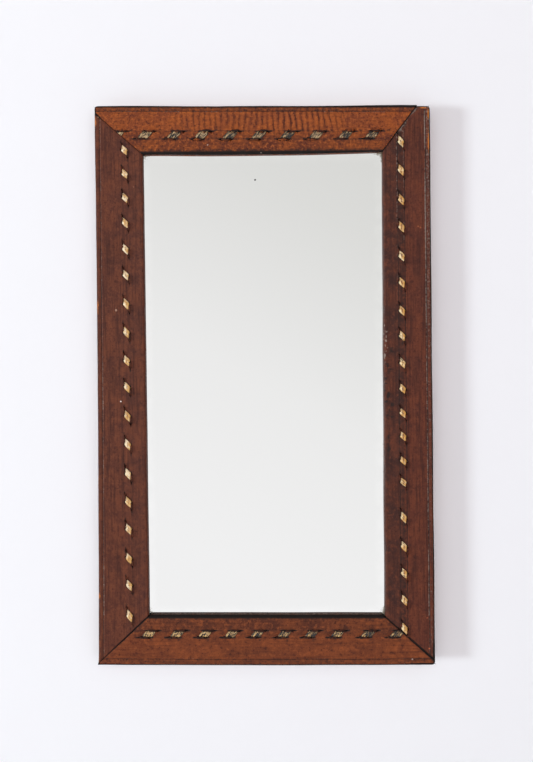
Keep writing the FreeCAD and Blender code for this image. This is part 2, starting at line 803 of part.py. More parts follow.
def make_screw():
    """Round-headed wood screw with a slot, holding the strap to the top rail."""
    body = new_body("hanger_screw")
    seat = D.strap_thickness * 2 - WOOD_BACK
    tip = seat - D.screw_length
    shank = D.screw_diameter / 2
    head = D.screw_head_diameter / 2
    crown = seat + D.screw_head_height
    profile = hanger_sketch(body, "screw_profile", drop=D.screw_drop)
    draw_polygon(profile, (
        (tip, ZERO),
        (crown, ZERO),
        (crown, D.screw_crown_diameter / 2),
        (seat + D.screw_head_height / 2, head),
        (seat, head),
        (seat, shank),
        (tip + D.screw_diameter, shank),
    ))
    turned = body.newObject("PartDesign::Revolution", "screw_turned")
    turned.Profile = profile
    turned.ReferenceAxis = (profile, ["H_Axis"])
    turned.Angle = 360
    slot = new_sketch(body, "screw_slot", "XZ_Plane", (ZERO, -(HINGE_DROP + D.screw_drop), -crown))
    draw_box(slot, -head, head, -(D.screw_slot_width / 2), D.screw_slot_width / 2)
    pocket(body, slot, D.screw_slot_depth, along_normal=True)
    return body


def build_pieces():
    """Build every piece of the mirror, fasteners first, and return those that are written out."""
    rails = make_rails()
    cover_tacks = group_solids("cover_tacks", [make_tacks(rail) for rail in rails])
    panel_brads = group_solids("panel_brads", [brad for rail in rails for brad in make_brads(rail)])
    corner_nails = make_corner_nails()
    screw = make_screw()
    pieces = [cover_tacks, panel_brads, corner_nails, screw, make_strap(), make_ring()]
    for rail in rails:
        fasteners = [cover_tacks, panel_brads, corner_nails]
        if rail.name == "top":
            fasteners.append(screw)
        pieces.append(cut_holes(f"{rail.name}_rail", make_core(rail), fasteners))
        pieces.append(cut_holes(f"{rail.name}_cover", make_cover(rail), [cover_tacks]))
        pieces.append(make_lace(rail))
    pieces.append(make_sheet("mirror_glass", GLASS_BACK, D.glass_thickness))
    pieces.append(make_sheet("packing_card", CARD_BACK, D.card_thickness))
    pieces.append(make_sheet("back_panel", PANEL_BACK, D.panel_thickness))
    return pieces


def check_document(pieces):
    """Stop if anything in the document failed, or a piece has no sound solid."""
    for thing in DOC.Objects:
        if "Invalid" in thing.State or "Error" in thing.State:
            raise RuntimeError(f"{thing.Name} failed to build")
    for piece in pieces:
        if piece.Shape.isNull() or not piece.Shape.isValid() or not piece.Shape.Solids:
            raise RuntimeError(f"{piece.Label} has no sound solid")


def main():
    """Build the mirror and write one file for each piece."""
    pieces = build_pieces()
    DOC.recompute()
    check_document(pieces)
    os.makedirs("parts", exist_ok=True)
    for piece in pieces:
        piece.Shape.exportStep(f"parts/{piece.Label}.step")
        print(piece.Label, len(piece.Shape.Solids), "solids", round(piece.Shape.Volume), "mm3")


main()
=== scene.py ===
"""Looks of a leather wall mirror: laced hide covers, thongs, old glass, backing and a plain studio."""

import json
import logging
import math
from abc import ABC, abstractmethod
from dataclasses import dataclass, field
from enum import Enum
from functools import cache, cached_property
from typing import NamedTuple

import bmesh
import bpy
from bpy.types import Material, Node, NodeSocket, Object, ShaderNodeTree
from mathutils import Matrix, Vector, noise

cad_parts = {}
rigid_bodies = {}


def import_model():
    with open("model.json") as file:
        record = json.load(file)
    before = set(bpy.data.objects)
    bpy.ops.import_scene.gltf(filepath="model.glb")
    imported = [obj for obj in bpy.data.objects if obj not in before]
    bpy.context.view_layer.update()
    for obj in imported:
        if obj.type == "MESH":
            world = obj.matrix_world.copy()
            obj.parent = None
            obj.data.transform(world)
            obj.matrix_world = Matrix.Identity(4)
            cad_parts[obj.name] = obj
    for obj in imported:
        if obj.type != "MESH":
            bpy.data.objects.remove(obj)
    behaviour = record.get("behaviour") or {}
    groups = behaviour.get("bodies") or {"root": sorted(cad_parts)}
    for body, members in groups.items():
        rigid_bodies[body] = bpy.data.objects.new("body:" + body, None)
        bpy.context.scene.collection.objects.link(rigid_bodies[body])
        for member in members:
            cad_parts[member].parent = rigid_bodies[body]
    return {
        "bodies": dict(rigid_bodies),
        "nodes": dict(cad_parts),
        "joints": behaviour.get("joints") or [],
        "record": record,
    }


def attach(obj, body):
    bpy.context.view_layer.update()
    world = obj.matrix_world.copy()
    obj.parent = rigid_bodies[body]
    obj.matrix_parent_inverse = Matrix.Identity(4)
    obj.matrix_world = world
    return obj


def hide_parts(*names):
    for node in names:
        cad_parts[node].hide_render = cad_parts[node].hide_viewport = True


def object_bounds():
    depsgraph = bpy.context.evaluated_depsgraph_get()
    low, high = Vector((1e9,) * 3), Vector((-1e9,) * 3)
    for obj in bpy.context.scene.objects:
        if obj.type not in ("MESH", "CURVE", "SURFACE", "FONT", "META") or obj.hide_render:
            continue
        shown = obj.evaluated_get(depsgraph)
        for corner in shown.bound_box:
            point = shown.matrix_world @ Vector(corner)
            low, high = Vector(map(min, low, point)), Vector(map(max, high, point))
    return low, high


BMesh, BMVert, BMEdge = bmesh.types.BMesh, bmesh.types.BMVert, bmesh.types.BMEdge
Colour = tuple[float, float, float, float]
Span = tuple[float, float]

LOG = logging.getLogger("leather_wall_mirror")
MM = 0.001
FLUSH = 0.02 * MM
IMAGE_HEIGHT = 762


def srgb(*screen: int) -> Colour:
    """Turn a screen's colour into the linear one that shaders take.

    Args:
        screen: Red, green and blue from 0 to 255.

    Returns:
        The colour, opaque.
    """
    linear = [share / 12.92 if share <= 0.04045 else ((share + 0.055) / 1.055) ** 2.4
              for share in (value / 255 for value in screen)]
    return (*linear, 1.0)


def held(share: float) -> float:
    """Hold a number between 0 and 1."""
    return min(1.0, max(0.0, share))


def blend(first: float, second: float, share: float) -> float:
    """Go from one number to another by a share."""
    return first + (second - first) * share


def smooth_step(low: float, high: float, value: float) -> float:
    """Rise smoothly from 0 at low to 1 at high, in either direction."""
    share = held((value - low) / (high - low))
    return share * share * (3 - 2 * share)


def bell(distance: float, width: float) -> float:
    """Bell curve that is 1 at no distance and fades over a width."""
    return math.exp(-((distance / width) ** 2))


def fading(distance: float, width: float) -> float:
    """Fall off from 1 at no distance, by the same share over every width."""
    return math.exp(-distance / width)


def arch(share: float) -> float:
    """Half wave that is 0 at both ends of a run and 1 in its middle."""
    return math.sin(math.pi * held(share))


def lumps(x: float, y: float, seed: float) -> float:
    """Smooth noise from about -1 to 1."""
    return noise.noise(Vector((x, y, seed)))


class Spot(NamedTuple):
    """Worn place along a rail: its middle and reach in millimetres, and its strength."""

    middle: float
    reach: float
    strength: float = 1.0


def strongest(spots: tuple[Spot, ...], along: float) -> float:
    """Strength of the strongest of several worn places at a point along the rail."""
    return max(spot.strength * bell(along - spot.middle * MM, spot.reach * MM) for spot in spots)


def link_mesh(bm: BMesh, name: str) -> Object:
    """Turn a finished bmesh into an object of the scene.

    Args:
        bm: Mesh with its place in it, which is freed.
        name: Name of the object and of its mesh.

    Returns:
        The object, at the origin.
    """
    mesh = bpy.data.meshes.new(name)
    bm.to_mesh(mesh)
    bm.free()
    made = bpy.data.objects.new(name, mesh)
    bpy.context.collection.objects.link(made)
    return made


class Corner(Enum):
    """Corners of the frame."""

    TOP_LEFT = "top_left"
    TOP_RIGHT = "top_right"
    BOTTOM_RIGHT = "bottom_right"
    BOTTOM_LEFT = "bottom_left"

    @property
    def at_top(self) -> bool:
        """Whether it is one of the upper two."""
        return self in (Corner.TOP_LEFT, Corner.TOP_RIGHT)

    @property
    def at_left(self) -> bool:
        """Whether it is one of the left two."""
        return self in (Corner.TOP_LEFT, Corner.BOTTOM_LEFT)

    @property
    def seed(self) -> int:
        """Number that gives the corner a noise of its own."""
        return len(self.value)


class Side(Enum):
    """The four rails, by the names of their nodes."""

    TOP = "top"
    BOTTOM = "bottom"
    LEFT = "left"
    RIGHT = "right"


@dataclass(frozen=True)
class SeamLook:
    """One leather seam: how it misses the true corner, its half gap, black edges and the corner's round.

    The ink at the outer end fades to that of the inner end over a share of the seam.
    """

    miss: Span
    half_gap: float
    outer_ink: float
    inner_ink: float
    ink_run: float
    corner_round: float
    ink_reach: float = 0.7 * MM

    def ink(self, share: float, away: float) -> float:
        """How black a point is by its share of the seam and its distance from it."""
        ink = blend(self.inner_ink, self.outer_ink, smooth_step(self.ink_run, self.ink_run * 0.2, share))
        return min(1.0, ink * fading(max(0.0, away - self.half_gap), self.ink_reach))


SEAMS = {
    Corner.TOP_LEFT: SeamLook((0, -7 * MM), 0.18 * MM, 1.3, 0.42, 0.22, 4.0 * MM),
    Corner.TOP_RIGHT: SeamLook((-13 * MM, 0), 0.18 * MM, 0.60, 0.35, 0.45, 4.0 * MM),
    Corner.BOTTOM_RIGHT: SeamLook((0, 5 * MM), 0.42 * MM, 1.3, 0.75, 0.80, 4.5 * MM),
    Corner.BOTTOM_LEFT: SeamLook((0, 2 * MM), 0.28 * MM, 0.62, 1.05, 0.60, 0.5 * MM),
}
SEAM_ROWS = (0.5 * MM, 1.2 * MM, 2.4 * MM)
SIDE_REACH = 14 * MM
SIDE_BELOW_FACE = 0.5 * MM


@dataclass(frozen=True)
class MirrorSizes:
    """Driving sizes of the mirror, in metres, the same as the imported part's."""

    width: float = 335 * MM
    height: float = 558 * MM
    lean: float = 4.4 * MM
    nail_drop: float = 10 * MM
    top_rail_left: float = 48.5 * MM
    top_rail_right: float = 46.6 * MM
    bottom_rail: float = 49 * MM
    side_rail_top: float = 48 * MM
    side_rail_foot: float = 50 * MM
    leather: float = 2 * MM
    skived: float = 0.8 * MM
    flap: float = 12 * MM
    turn_in: float = 7.5 * MM
    flap_back: float = 1.5 * MM
    turn_in_back: float = 15.5 * MM
    front: float = 22.3 * MM

    def outer(self, corner: Corner) -> Vector:
        """Corner of the frame's outer edge, as x and z."""
        x = self.lean / (-2 if corner.at_top else 2) + self.width / (-2 if corner.at_left else 2)
        return Vector((x, self.nail_drop - (0 if corner.at_top else self.height)))

    def sight(self, corner: Corner) -> Vector:
        """Find a corner of the leather's inner edge round the glass.

        Args:
            corner: Which corner.

        Returns:
            Its x and z.
        """
        across = self.side_rail_top if corner.at_top else self.side_rail_foot
        top_rail = self.top_rail_left if corner.at_left else self.top_rail_right
        down = -top_rail if corner.at_top else self.bottom_rail
        return self.outer(corner) + Vector((across if corner.at_left else -across, down))

    def seam(self, corner: Corner) -> Vector:
        """End of a leather seam on the outer edge, which misses the true corner."""
        return self.outer(corner) + Vector(SEAMS[corner].miss)

SIZES = MirrorSizes()


class SeamLine(NamedTuple):
    """Line of one leather seam on the front: its outer end and direction, as x and z, and its length."""

    outer: Vector
    run: Vector
    length: float

    @property
    def across(self) -> Vector:
        """Direction across the seam, in the mirror's frame."""
        return Vector((-self.run.y, 0, self.run.x))

    def measure(self, place: Vector) -> tuple[float, float]:
        """Find where a point of the face lies beside the seam.

        Args:
            place: Point in the mirror's frame.

        Returns:
            Share of the seam from its outer end, and distance away from it.
        """
        x, z = place.x - self.outer.x, place.z - self.outer.y
        return (x * self.run.x + z * self.run.y) / self.length, abs(x * self.run.y - z * self.run.x)


def seam_line(corner: Corner) -> SeamLine:
    """Line of the seam that runs to a corner."""
    span = SIZES.sight(corner) - SIZES.seam(corner)
    return SeamLine(SIZES.seam(corner), span.normalized(), span.length)


SEAM_LINES = {corner: seam_line(corner) for corner in Corner}


class Stitch(NamedTuple):
    """One stitch of a lace: its middle along the rail, its width and how far it slants."""

    centre: float
    width: float
    shift: float

    @property
    def ends(self) -> Span:
        """Places along the rail where the lace rises and where it sinks."""
        return self.centre - self.shift / 2, self.centre + self.shift / 2


@dataclass(frozen=True)
class Lacing:
    """How one thong is laced through a rail by hand, at unevenly spaced places in millimetres."""

    places: tuple[float, ...]
    width: float
    shift: float
    spacing: float
    inset_start: float
    inset_end: float
    spare: float = 3.5 * MM
    usual_pitch: float = 28.5
    crowding: float = 0.9

    def stitches(self) -> list[Stitch]:
        """Lay out every stitch along the rail, shorter where its neighbours are close.

        Returns:
            The stitches from the rail's start.
        """
        found = []
        for index, place in enumerate(self.places):
            before = place - self.places[index - 1] if index else self.places[1] - place
            after = self.places[index + 1] - place if index + 1 < len(self.places) else before
            size = (min(before, after) / self.usual_pitch) ** self.crowding
            found.append(Stitch(place * MM, self.width * size, self.shift * size))
        return found


@dataclass(frozen=True)
class Rail:
    """One side of the frame, with its own directions along, inwards and to the front."""

    side: Side
    start: Corner
    end: Corner
    lacing: Lacing
    first_line_inside: bool

    @property
    def upright(self) -> bool:
        """Whether the rail stands at the left or right."""
        return self.side in (Side.LEFT, Side.RIGHT)

    @property
    def corners(self) -> tuple[Corner, Corner]:
        """Corners at the rail's start and end, whose seams cut its leather."""
        return self.start, self.end

    @property
    def seed(self) -> int:
        """Number that gives the rail a noise of its own."""
        return len(self.side.value)

    @cached_property
    def origin(self) -> Vector:
        """Outer corner at the rail's start, as x and z."""
        return SIZES.outer(self.start)

    @cached_property
    def length(self) -> float:
        """Length of the rail's outer edge."""
        return (SIZES.outer(self.end) - self.origin).length

    @cached_property
    def along(self) -> Vector:
        """Direction of the outer edge, as x and z."""
        return (SIZES.outer(self.end) - self.origin).normalized()

    @cached_property
    def inward(self) -> Vector:
        """Direction from the outer edge to the glass, as x and z."""
        ways = {Side.TOP: (0, -1), Side.BOTTOM: (0, 1), Side.LEFT: (1, 0), Side.RIGHT: (-1, 0)}
        return Vector(ways[self.side])

    def measure(self, x: float, z: float) -> tuple[float, float]:
        """Find where a point of the front lies on the rail.

        Args:
            x: Place across the mirror.
            z: Height.

        Returns:
            Distance along the rail from its start, and inwards from its outer edge.
        """
        offset = Vector((x, z)) - self.origin
        along, inward = self.along, self.inward
        turn = along.x * inward.y - along.y * inward.x
        return (
            (offset.x * inward.y - offset.y * inward.x) / turn,
            (along.x * offset.y - along.y * offset.x) / turn,
        )

    @cached_property
    def sight_ends(self) -> tuple[tuple[float, float], tuple[float, float]]:
        """Both corners of the glass beside the rail, each as a place along and inwards."""
        return self.measure(*SIZES.sight(self.start)), self.measure(*SIZES.sight(self.end))

    def width(self, along: float) -> float:
        """Distance from the outer edge to the glass at a place along the rail."""
        (first_along, first_width), (last_along, last_width) = self.sight_ends
        return blend(first_width, last_width, (along - first_along) / (last_along - first_along))

    def place(self, along: float, inward: float, front: float) -> Vector:
        """Point in the mirror's frame from a place on the rail and a depth to the front."""
        flat = self.origin + self.along * along + self.inward * inward
        return Vector((flat.x, -front, flat.y))

    def lacing_inset(self, along: float) -> float:
        """Distance inwards of the lacing's middle line, which drifts along the rail."""
        return blend(self.lacing.inset_start, self.lacing.inset_end, along / self.length)

    def slit_line(self, second: bool, along: float) -> float:
        """Distance inwards of the first or the second line of slits at a place along the rail."""
        half = self.lacing.spacing / 2
        return self.lacing_inset(along) + (half if second != self.first_line_inside else -half)


def make_rails() -> dict[Side, Rail]:
    """Describe the four rails and their hand-spaced lacing, measured from each rail's start.

    Returns:
        The rails by their sides.
    """
    side_stitch = {"width": 8.3 * MM, "shift": 5.9 * MM, "spacing": 6.8 * MM, "inset_start": 29.6 * MM}
    top = Lacing(
        (22.4, 50.8, 79.8, 107.3, 135.8, 164.5, 193.0, 221.4, 250.6, 277.0),
        width=11.2 * MM, shift=5.8 * MM, spacing=7.8 * MM, inset_start=29.2 * MM, inset_end=29.2 * MM)
    bottom = Lacing(
        (50.2, 78.4, 106.2, 132.4, 158.2, 185.3, 212.2, 238.2, 268.6, 297.6),
        width=11.0 * MM, shift=4.8 * MM, spacing=7.0 * MM, inset_start=31.2 * MM, inset_end=31.2 * MM)
    left = Lacing(
        (44.4, 68.0, 91.9, 117.0, 143.1, 168.9, 197.7, 226.0, 254.2, 280.8, 309.4, 337.8, 367.0,
         395.1, 422.1, 451.2, 478.1, 508.6), inset_end=31.5 * MM, **side_stitch)
    right = Lacing(
        (35.7, 64.1, 93.6, 120.8, 149.8, 176.3, 204.4, 229.6, 256.6, 282.2, 306.5, 329.5, 354.0,
         375.3, 410.6, 439.5, 466.0, 492.9, 521.2), inset_end=29.6 * MM, **side_stitch)
    return {
        Side.TOP: Rail(Side.TOP, Corner.TOP_LEFT, Corner.TOP_RIGHT, top, True),
        Side.BOTTOM: Rail(Side.BOTTOM, Corner.BOTTOM_LEFT, Corner.BOTTOM_RIGHT, bottom, False),
        Side.LEFT: Rail(Side.LEFT, Corner.TOP_LEFT, Corner.BOTTOM_LEFT, left, False),
        Side.RIGHT: Rail(Side.RIGHT, Corner.TOP_RIGHT, Corner.BOTTOM_RIGHT, right, True),
    }


def bisect(bm: BMesh, point: Vector, normal: Vector, clear: bool = False) -> list[BMVert]:
    """Cut a mesh with a plane.

    Args:
        bm: Mesh to cut.
        point: Point of the plane.
        normal: Direction across it.
        clear: Whether what lies beyond the plane goes.

    Returns:
        The points on the cut.
    """
    geom = bm.verts[:] + bm.edges[:] + bm.faces[:]
    cut = bmesh.ops.bisect_plane(bm, geom=geom, plane_co=point, plane_no=normal, clear_outer=clear)
    return [item for item in cut["geom_cut"] if isinstance(item, BMVert)]


def cut_at_seams(bm: BMesh, rail: Rail) -> None:
    """Cut both ends of a strip along the seams that meet the neighbouring covers.

    Args:
        bm: Mesh of the strip.
        rail: Rail that carries it.
    """
    heart = rail.place(rail.length / 2, rail.width(rail.length / 2) / 2, 0)
    for corner in rail.corners:
        line = SEAM_LINES[corner]
        normal = line.across
        point = Vector((line.outer.x, 0, line.outer.y))
        if (heart - point).dot(normal) > 0:
            normal = -normal
        gap = SEAMS[corner].half_gap
        close_side(rail, bisect(bm, point - normal * gap, normal, clear=True), normal, gap)
        for row in SEAM_ROWS:
            bisect(bm, point - normal * (gap + row), normal)


def close_side(rail: Rail, verts: list[BMVert], normal: Vector, gap: float) -> None:
    """Close a seam's gap on the frame's outer side, where no wood would show behind it.

    Args:
        rail: Rail that carries the strip.
        verts: Points on the cut.
        normal: Direction across the seam, away from the strip.
        gap: Half the gap.
    """
    along = Vector((rail.along.x, 0, rail.along.y))
    slant = along.dot(normal)
    for vert in verts:
        near_edge = rail.measure(vert.co.x, vert.co.z)[1] < SIDE_REACH
        if near_edge and -vert.co.y < SIZES.front - SIDE_BELOW_FACE:
            vert.co += along * (gap / slant)


class NodeSheet:
    """Adds and links the nodes of one shader tree."""

    def __init__(self, tree: ShaderNodeTree) -> None:
        """Take the tree that the nodes go into."""
        self.tree = tree

    def fill(self, kind: str, inputs: dict[int | str, object], **settings: object) -> Node:
        """Add a node, set its properties and give its inputs their values.

        Args:
            kind: Kind of node.
            inputs: Sockets or plain values by the numbers or names of the inputs.
            **settings: Its properties.

        Returns:
            The node.
        """
        node = self.tree.nodes.new(kind)
        for name, value in settings.items():
            setattr(node, name, value)
        for name, value in inputs.items():
            self.put(node.inputs[name], value)
        return node

    def put(self, socket: NodeSocket, value: object) -> None:
        """Link a socket to another one, or give it a plain value.

        Args:
            socket: Socket that takes the value.
            value: Another socket, a number, a colour or a vector.
        """
        if isinstance(value, NodeSocket):
            self.tree.links.new(value, socket)
        else:
            socket.default_value = value

    def feed(self, kind: str, *values: object, **settings: object) -> Node:
        """Add a node and give its first inputs their values, in order."""
        return self.fill(kind, dict(enumerate(values)), **settings)

    def place(self, group: ShaderNodeTree, **values: object) -> Node:
        """Place a shared group with values for its inputs."""
        return self.fill("ShaderNodeGroup", values, node_tree=group)

    def math(self, operation: str, *numbers: object) -> NodeSocket:
        """Combine one to three numbers."""
        return self.feed("ShaderNodeMath", *numbers, operation=operation).outputs[0]

    def times(self, first: object, second: object) -> NodeSocket:
        """Multiply two numbers."""
        return self.math("MULTIPLY", first, second)

    def plus(self, first: object, second: object) -> NodeSocket:
        """Add two numbers."""
        return self.math("ADD", first, second)

    def minus(self, first: object, second: object) -> NodeSocket:
        """Subtract one number from another."""
        return self.math("SUBTRACT", first, second)

    def line(self, value: object, slope: float, start: float) -> NodeSocket:
        """Multiply a number and add a start."""
        return self.math("MULTIPLY_ADD", value, slope, start)

    def mix(self, share: object, first: object, second: object, way: str = "MIX") -> NodeSocket:
        """Mix two colours by a share, in one of the ways of blending."""
        inputs = {0: share, 6: first, 7: second}
        return self.fill("ShaderNodeMix", inputs, data_type="RGBA", blend_type=way).outputs[2]

    def stretch(self, value: object, low: float, high: float, to_low: float = 0.0,
                to_high: float = 1.0) -> NodeSocket:
        """Map a range of numbers smoothly onto another, and hold it there."""
        numbers = value, low, high, to_low, to_high
        return self.feed("ShaderNodeMapRange", *numbers, interpolation_type="SMOOTHSTEP").outputs[0]

    def split(self, vector: NodeSocket) -> tuple[NodeSocket, ...]:
        """Parts of a vector along x, y and z."""
        return tuple(self.feed("ShaderNodeSeparateXYZ", vector).outputs)

    def scaled(self, vector: NodeSocket, scale: tuple[float, float, float]) -> NodeSocket:
        """Coordinates stretched by a scale on each axis."""
        return self.fill("ShaderNodeMapping", {"Vector": vector, "Scale": scale}).outputs[0]

    def noise(self, vector: NodeSocket, scale: object, detail: float = 3.0, rough: float = 0.5) -> NodeSocket:
        """Cloudy noise from 0 to 1, with its lumps in a metre, its finer layers and their strength."""
        inputs = {"Vector": vector, "Scale": scale, "Detail": detail, "Roughness": rough}
        return self.fill("ShaderNodeTexNoise", inputs).outputs["Fac"]

    def cells(self, vector: NodeSocket, scale: float) -> NodeSocket:
        """Distance to the nearest of many scattered points."""
        return self.fill("ShaderNodeTexVoronoi", {"Vector": vector, "Scale": scale}).outputs["Distance"]

    def attribute(self, name: str) -> NodeSocket:
        """Number that the piece's own mesh carries."""
        return self.feed("ShaderNodeAttribute", attribute_name=name).outputs["Fac"]

    def flat_place(self) -> NodeSocket:
        """The strip's own flat coordinates in metres."""
        return self.feed("ShaderNodeUVMap", uv_map="strip").outputs[0]

    def own_place(self) -> NodeSocket:
        """The piece's own coordinates in metres."""
        return self.feed("ShaderNodeTexCoord").outputs["Object"]

    def bump(self, height: NodeSocket, depth: float, strength: float) -> NodeSocket:
        """Normal of a fine relief with a depth in metres."""
        inputs = {"Strength": strength, "Distance": depth, "Height": height}
        return self.fill("ShaderNodeBump", inputs).outputs[0]


class GroupSheet(NodeSheet):
    """Builds a shader node group with named inputs and outputs."""

    def __init__(self, name: str, vectors: tuple[str, ...], numbers: tuple[str, ...] = ()) -> None:
        """Start a group.

        Args:
            name: Name of the group.
            vectors: Inputs that take a vector.
            numbers: Inputs that take a number.
        """
        super().__init__(bpy.data.node_groups.new(name, "ShaderNodeTree"))
        for kind, sockets in (("Vector", vectors), ("Float", numbers)):
            for socket in sockets:
                self.tree.interface.new_socket(socket, in_out="INPUT", socket_type=f"NodeSocket{kind}")
        self.given = self.feed("NodeGroupInput").outputs

    def give(self, **values: NodeSocket) -> ShaderNodeTree:
        """Send the results out of the group.

        Args:
            **values: Each output's number by its name.

        Returns:
            The finished group.
        """
        for name in values:
            self.tree.interface.new_socket(name, in_out="OUTPUT", socket_type="NodeSocketFloat")
        self.fill("NodeGroupOutput", values)
        return self.tree


@cache
def hide_grain_group() -> ShaderNodeTree:
    """Build the grain of old hide: patches, mottling, long streaks, pores, cross wrinkles and pebbles.

    Returns:
        The group, which gives a mask for each and a height.
    """
    sheet = GroupSheet("hide_grain", ("Vector",), ("Streaks", "Mottling", "Fineness", "Pores"))
    given = sheet.given
    place = given["Vector"]
    mottle = sheet.noise(place, given["Fineness"], 5, 0.75)
    long_grain = sheet.noise(sheet.scaled(place, (16, 330, 1)), 1, 5, 0.72)
    pore = sheet.times(sheet.stretch(sheet.noise(place, 520, 2, 0.6), 0.58, 0.68), given["Pores"])
    sway = sheet.times(sheet.noise(sheet.scaled(place, (45, 42, 1)), 1, 1.5), 1.5)
    turns = sheet.plus(sheet.times(sheet.split(place)[0], 175), sway)
    ridge = sheet.math("ABSOLUTE", sheet.minus(sheet.math("FRACT", turns), 0.5))
    patchy = sheet.stretch(sheet.noise(place, 80, 3, 0.6), 0.36, 0.56, 0.35, 1.0)
    fine = sheet.times(sheet.noise(place, 1500, 2), 0.4)
    pebbles = sheet.plus(sheet.times(sheet.cells(place, 900), 0.6), fine)
    return sheet.give(
        Patches=sheet.stretch(sheet.noise(place, 60, 5, 0.62), 0.34, 0.66),
        Pale=sheet.times(sheet.stretch(mottle, 0.50, 0.63), given["Mottling"]),
        Deep=sheet.times(sheet.stretch(mottle, 0.46, 0.35), given["Mottling"]),
        Streak=sheet.times(sheet.stretch(long_grain, 0.42, 0.70), given["Streaks"]),
        Pore=pore,
        Wrinkle=sheet.times(sheet.stretch(ridge, 0.30, 0.48), patchy),
        Crest=sheet.stretch(ridge, 0.30, 0.05),
        Height=sheet.minus(pebbles, sheet.times(pore, 0.8)),
    )


@cache
def scuff_group() -> ShaderNodeTree:
    """Build a small ragged spot round a place on the piece.

    Returns:
        The group, which gives the spot's mask.
    """
    sheet = GroupSheet("scuff_spot", ("Vector", "Centre"), ("Size",))
    place, centre, size = (sheet.given[name] for name in ("Vector", "Centre", "Size"))
    away = sheet.feed("ShaderNodeVectorMath", place, centre, operation="DISTANCE").outputs["Value"]
    ragged = sheet.minus(sheet.noise(place, 900, 3), 0.5)
    level = sheet.plus(sheet.math("DIVIDE", away, size), ragged)
    return sheet.give(Spot=sheet.stretch(level, 1.15, 0.7))


@cache
def wear_group() -> ShaderNodeTree:
    """Break a painted mask up by fine noise, so that wear ends in specks.

    Returns:
        The group, which gives the broken mask.
    """
    sheet = GroupSheet("speckled_wear", ("Vector",), ("Mask", "Scale", "Break"))
    place, mask, scale, ragged = (sheet.given[name] for name in ("Vector", "Mask", "Scale", "Break"))
    specks = sheet.noise(place, scale, 4, 0.65)
    level = sheet.plus(mask, sheet.times(sheet.minus(specks, 0.5), ragged))
    gate = sheet.stretch(mask, 0.0, 0.12)
    return sheet.give(Wear=sheet.times(sheet.stretch(level, 0.25, 0.75), gate))


@cache
def wood_grain_group() -> ShaderNodeTree:
    """Build the grain of plain sawn softwood: long rings, fine lines and darker patches.

    Returns:
        The group, which gives masks of rings and lines.
    """
    sheet = GroupSheet("wood_grain", ("Vector",))
    place = sheet.given["Vector"]
    _, y, z = sheet.split(place)
    sway = sheet.times(sheet.noise(sheet.scaled(place, (7, 38, 38)), 1), 4.5)
    across = sheet.plus(z, sheet.times(y, 0.6))
    ring = sheet.math("FRACT", sheet.plus(sheet.times(across, 260), sway))
    late = sheet.times(sheet.stretch(ring, 0.30, 0.90), sheet.stretch(ring, 1.0, 0.93))
    strength = sheet.stretch(sheet.noise(sheet.scaled(place, (10, 90, 90)), 1), 0.3, 0.7, 0.2, 0.9)
    lines = sheet.noise(sheet.scaled(place, (25, 1500, 1500)), 1, 3, 0.6)
    return sheet.give(Rings=sheet.times(late, strength), Lines=lines)


def blank_material(name: str) -> tuple[Material, NodeSheet]:
    """Start a material without nodes.

    Args:
        name: Name of the material.

    Returns:
        The material and a sheet to add nodes with.
    """
    material = bpy.data.materials.new(name)
    material.use_nodes = True
    material.node_tree.nodes.clear()
    return material, NodeSheet(material.node_tree)


class Finish(ABC):
    """A finish that makes its own material."""

    name: str

    @abstractmethod
    def paint(self, sheet: NodeSheet) -> dict[str, object]:
        """Lay out the nodes.

        Args:
            sheet: Sheet of the material.

        Returns:
            Values of the shader's inputs.
        """

    def build(self) -> Material:
        """Make the material with one principled shader.

        Returns:
            The material.
        """
        material, sheet = blank_material(self.name)
        shader = sheet.fill("ShaderNodeBsdfPrincipled", self.paint(sheet))
        sheet.feed("ShaderNodeOutputMaterial", shader.outputs[0])
        return material


@dataclass(frozen=True)
class Mark:
    """One small scuff or chip on the front, its place and size in millimetres."""

    x: float
    z: float
    size: float
    colour: Colour

    def lay(self, sheet: NodeSheet, base: NodeSocket, front: float) -> NodeSocket:
        """Lay the mark over a base colour.

        Args:
            sheet: Sheet of the material.
            base: Colour under the mark.
            front: Depth to the front of the marked face.

        Returns:
            The marked colour.
        """
        centre = (self.x * MM, -front, self.z * MM)
        spot = sheet.place(scuff_group(), Vector=sheet.own_place(), Centre=centre, Size=self.size * MM)
        return sheet.mix(spot.outputs["Spot"], base, self.colour)


